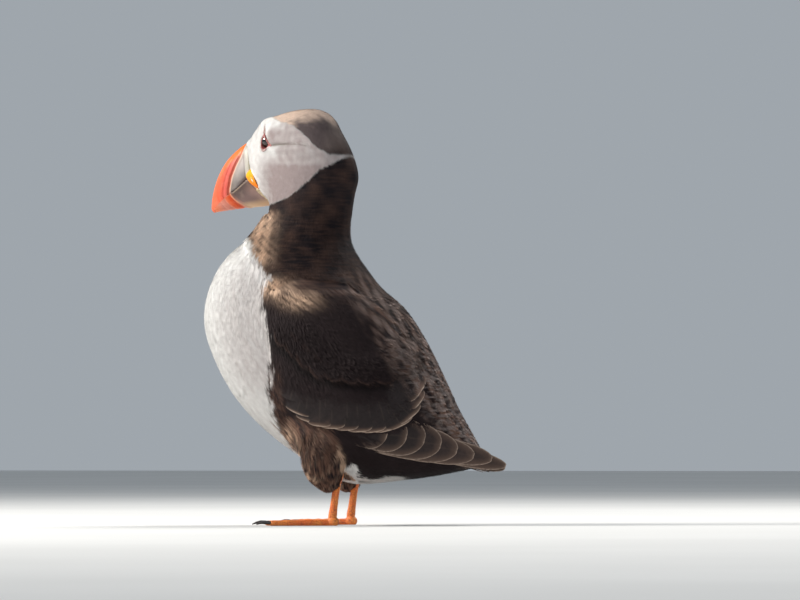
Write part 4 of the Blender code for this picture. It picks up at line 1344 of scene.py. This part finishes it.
def primary_out(y, z):
    """How far out the folded wing tip lies."""
    level = 55.0 - 0.27 * (y - 18.0)
    return np.interp(y, PRIMARY_OUT[:, 0], PRIMARY_OUT[:, 1]) - 0.012 * (z - level) ** 2


def build_primaries():
    """The folded wing tips: blades nested one on the next, the longest underneath. The right is tucked in."""
    for side, word in SIDES:
        vanes = Vanes()
        tuck = (0.0, 0.0) if side > 0 else RIGHT_TUCK
        for i, (y, z, half) in enumerate(PRIMARY_TIPS):
            worn = 0.06 + 0.12 * float(smooth(45.0, 85.0, y))
            vanes.add(PRIMARY_ROOT, (y - tuck[0], z - tuck[1]), half, side, -1.6 + 0.42 * i, -1.5, 0.6,
                      sink=0.0, out=primary_out, worn=worn)
        vanes.finish(f"primary_vanes_{word}", [f"primaries_{word}"])


def build_tail():
    """Twelve short tail feathers fanned flat between the wing tips."""
    vanes = Vanes()
    t, c = vanes.blade()
    middle = (TAIL_FEATHERS - 1) / 2
    for i in range(TAIL_FEATHERS):
        spread = (i - middle) / middle
        wide = 2.9 * np.minimum(1, 0.4 + 2 * t) * np.sqrt(1 - (np.clip(t - 0.75, 0, 1) / 0.255) ** 2)
        long = 21.0 - 3.0 * spread ** 2
        x = spread * (4.5 + 3.6 * t) + wide * c
        y = 71.0 + long * t
        z = 35.4 - 4.6 * t - 1.3 * abs(spread) * (0.5 + 0.5 * t) - 0.25 * c ** 2 - 0.12 * abs(i - middle)
        edge = np.minimum((1 - np.abs(c)) * wide, (1 - t) * long)
        vanes.keep(np.stack((x, y, z), -1), edge, t, c, 0.4, -1)
    vanes.finish("tail_vanes", ["tail"])


# ---------------------------------------------------------------- coat

def above_collar(p):
    return p[:, 2] > 168 + 1.3 * wobble(p, 3.5, 21)


def on_head(p):
    return above_collar(p) & ~near_bare(p)


def near_bare(p):
    """Places where no feather grows: bill, eye and rosette."""
    f, u, out, _ = head_frame(p)
    eye = (inside_outline(EYE_OUTER, f, u) > -0.5) & (out > 9)
    base = edge_distance(FACE_EDGE, f, u) > -0.5
    rosette = (inside_outline(ROSETTE_OUTLINE, f, u) > -0.5) & (out > 3)
    plates = np.maximum(inside_outline(LOWER_PLATE, f, u), inside_outline(UPPER_PLATE, f, u)) > -0.1
    return (p[:, 2] > 168) & (eye | base | rosette | plates & (out > 6))


def wing_zone(p):
    return (inside_outline(WING_OUTLINE, p[:, 1], p[:, 2]) > 1.0) & (np.abs(p[:, 0]) > 12)


def flank_zone(p):
    """The sides below the wing, whose long soft feathers hang over the thigh."""
    return (p[:, 2] < 62) & (np.abs(p[:, 0]) > 9) & (p[:, 1] < 26) & ~wing_zone(p)


def plain_zone(low, high, white):
    """The body between two heights, clear of head, wing and flank, on the white front or off it."""
    def zone(p):
        within = (p[:, 2] > low) & (p[:, 2] <= high) & ((white_front(p) > 0.5) == white)
        return within & ~above_collar(p) & ~wing_zone(p) & ~flank_zone(p)
    return zone


def shoulder_zone(p):
    return wing_zone(p) & (edge_distance(SCAPULAR_TIPS, p[:, 1], p[:, 2]) > 1.0) & (p[:, 2] < 128)


def mantle_zone(p):
    """The hind back, where single worn feathers show."""
    y, z = p[:, 1], p[:, 2]
    return (z < 128) & (y > 12) & (z > np.interp(y, (45.0, 57.0, 99.0), (66.0, 60.0, 33.0))) & ~wing_zone(p)


def shoulder_depth(p):
    return lobe_depth(p[:, 1], p[:, 2])


def back_of_head(p):
    return smooth(4.0, -34.0, head_frame(p)[0])


def upper_lift(p):
    """How far the feathers of head and neck stand off: least on the face."""
    behind, z = back_of_head(p), p[:, 2]
    return 0.14 + 0.14 * behind + 0.92 * smooth(186.0, 160.0, z) * np.maximum(behind, smooth(171.0, 158.0, z))


def hanging_lift(p):
    """How far the flank's feathers stand off: fullest over the thigh, as little as the belly's round it."""
    full = smooth(62.0, 51.0, p[:, 2]) * smooth(9.0, 20.0, np.abs(p[:, 0])) * (1 - 0.85 * white_front(p))
    return 0.7 + 0.062 * (p[:, 2] - 18) * full


# Each coat piece: name, slot, zone, feathers per square millimetre, length, width, lift and the rest.
PALE, DARK = "plumage_pale", "plumage_dark"
EVERYWHERE = 1000.0
COATS = (
    ("coat_head", PALE, on_head, 7.0, lambda p: 2.1 + 2.2 * back_of_head(p), 0.42, upper_lift,
     dict(turn=0.06, sleek=True)),
    ("coat_neck", DARK, plain_zone(128, EVERYWHERE, False), 5.0, 5.0, 0.55, upper_lift, {}),
    ("coat_breast", PALE, plain_zone(84, EVERYWHERE, True), 4.8, 11.0, 0.46, 0.7,
     dict(turn=0.03, sleek=True)),
    ("coat_belly", PALE, plain_zone(-EVERYWHERE, 84, True), 4.6, 11.0, 0.50, 0.75,
     dict(turn=0.04, sleek=True)),
    ("coat_back", DARK, plain_zone(-EVERYWHERE, 128, False), 3.6, 6.0, 0.66, 1.2, {}),
    ("coat_wings", DARK, lambda p: wing_zone(p) & (shoulder_depth(p) < 14), 2.8, 6.5, 0.7, 1.2, {}),
    ("coat_shoulder", DARK, shoulder_zone, 3.4, 8.0, 0.75,
     lambda p: 1.2 + 1.8 * smooth(18.0, 6.0, shoulder_depth(p)),
     dict(turn=0.06, ends_at=lambda p: shoulder_depth(p) > 0)),
    ("coat_mantle", DARK, mantle_zone, 0.12, 8.5, 3.4, 1.3, dict(shape=LEAF, turn=0.10, fringe=0.14)),
    ("coat_flanks", DARK, lambda p: flank_zone(p) & (p[:, 2] > 19.5), 5.2,
     lambda p: 2.5 + 0.36 * np.clip(p[:, 2] - 18, 0, 36), 0.55, hanging_lift,
     dict(turn=0.05, per_feather=("worn", "tan_and_sunlight"))),
)


# ---------------------------------------------------------------- studio

AZIMUTH = math.radians(103.0)
OUT = Vector((math.sin(AZIMUTH), -math.cos(AZIMUTH), 0.0))
RIGHT = Vector((math.cos(AZIMUTH), math.sin(AZIMUTH), 0.0))
SENSOR_WIDTH = 36.0
CAMERA_DISTANCE = 3.0
CAMERA_HEIGHT = 0.04
VIEW_WIDTH = 0.432
VIEW_HEIGHT_CENTRE = 0.1215
VIEW_AHEAD = 0.0405
LIGHT_TARGET = Vector((0.0, 0.0, 0.11))
# Lights: how far to the right, towards the camera and up, size, power and colour.
LIGHTS = {
    "key": (-1.38, 0.18, 1.10, 0.5, 36.5, (1.0, 0.965, 0.91)),
    "fill": (0.9, 1.5, 0.7, 1.4, 3.0, (0.95, 0.97, 1.0)),
    "rim": (0.5, -0.7, 1.4, 0.7, 20.0, (1.0, 0.97, 0.93)),
}
SKY = (0.62, 0.68, 0.74, 1.0)
SKY_STRENGTH = 0.56
FLOOR_HALF = 8.0
FLOOR_GREYS = ((0.60, 0.60, 0.59), (0.64, 0.64, 0.63))


def aim(made, place, target):
    """Puts a camera or light at a place and turns it to a target."""
    made.location = place
    made.rotation_euler = (target - made.location).to_track_quat("-Z", "Y").to_euler()


def build_camera():
    """The camera, a little above the floor, beside the bird and slightly behind."""
    target = Vector((0.0, SETTLE_Y * MM, VIEW_HEIGHT_CENTRE)) + RIGHT * VIEW_AHEAD
    data = bpy.data.cameras.new("camera")
    data.sensor_width = SENSOR_WIDTH
    data.lens = SENSOR_WIDTH * CAMERA_DISTANCE / VIEW_WIDTH
    camera = new_object("camera", data)
    place = target + OUT * CAMERA_DISTANCE
    place.z = CAMERA_HEIGHT
    aim(camera, place, target)
    bpy.context.scene.camera = camera
    bpy.context.scene.view_settings.view_transform = "Standard"


def build_lights():
    """Three soft lights and an even sky."""
    for name, (right, out, up, size, power, colour) in LIGHTS.items():
        data = bpy.data.lights.new(name, "AREA")
        data.shape = "DISK"
        data.size = size
        data.energy = power
        data.color = colour
        aim(new_object(name, data), RIGHT * right + OUT * out + Vector((0, 0, up)), LIGHT_TARGET)
    world = bpy.data.worlds.new("studio")
    world.use_nodes = True
    background = world.node_tree.nodes["Background"]
    background.inputs["Color"].default_value = SKY
    background.inputs["Strength"].default_value = SKY_STRENGTH
    bpy.context.scene.world = world


def build_floor():
    """A pale floor, which belongs to the stage and not to the part."""
    p = Paint("floor")
    colour = p.mix(p.between(p.noise(3.0, 3.0), 0.3, 0.7), *FLOOR_GREYS)
    corners = [(x * FLOOR_HALF, y * FLOOR_HALF, 0) for x, y in ((-1, -1), (1, -1), (1, 1), (-1, 1))]
    mesh = mesh_of("floor", corners, [(0, 1, 2, 3)])
    mesh.materials.append(p.done(Base_Color=colour, Roughness=0.8))
    floor = new_object("floor", mesh)


def main():
    lie = Lie()
    skin = build_skin(lie)
    bill = build_bill()
    build_small_parts(skin, bill, lie)
    for name, slot, zone, per_mm2, length, width, lift, rest in COATS:
        dress(skin, lie, name, slot, zone, per_mm2, length, width, lift, **rest)
    build_wings(skin)
    build_primaries()
    build_tail()
    build_camera()
    build_lights()
    build_floor()


main()
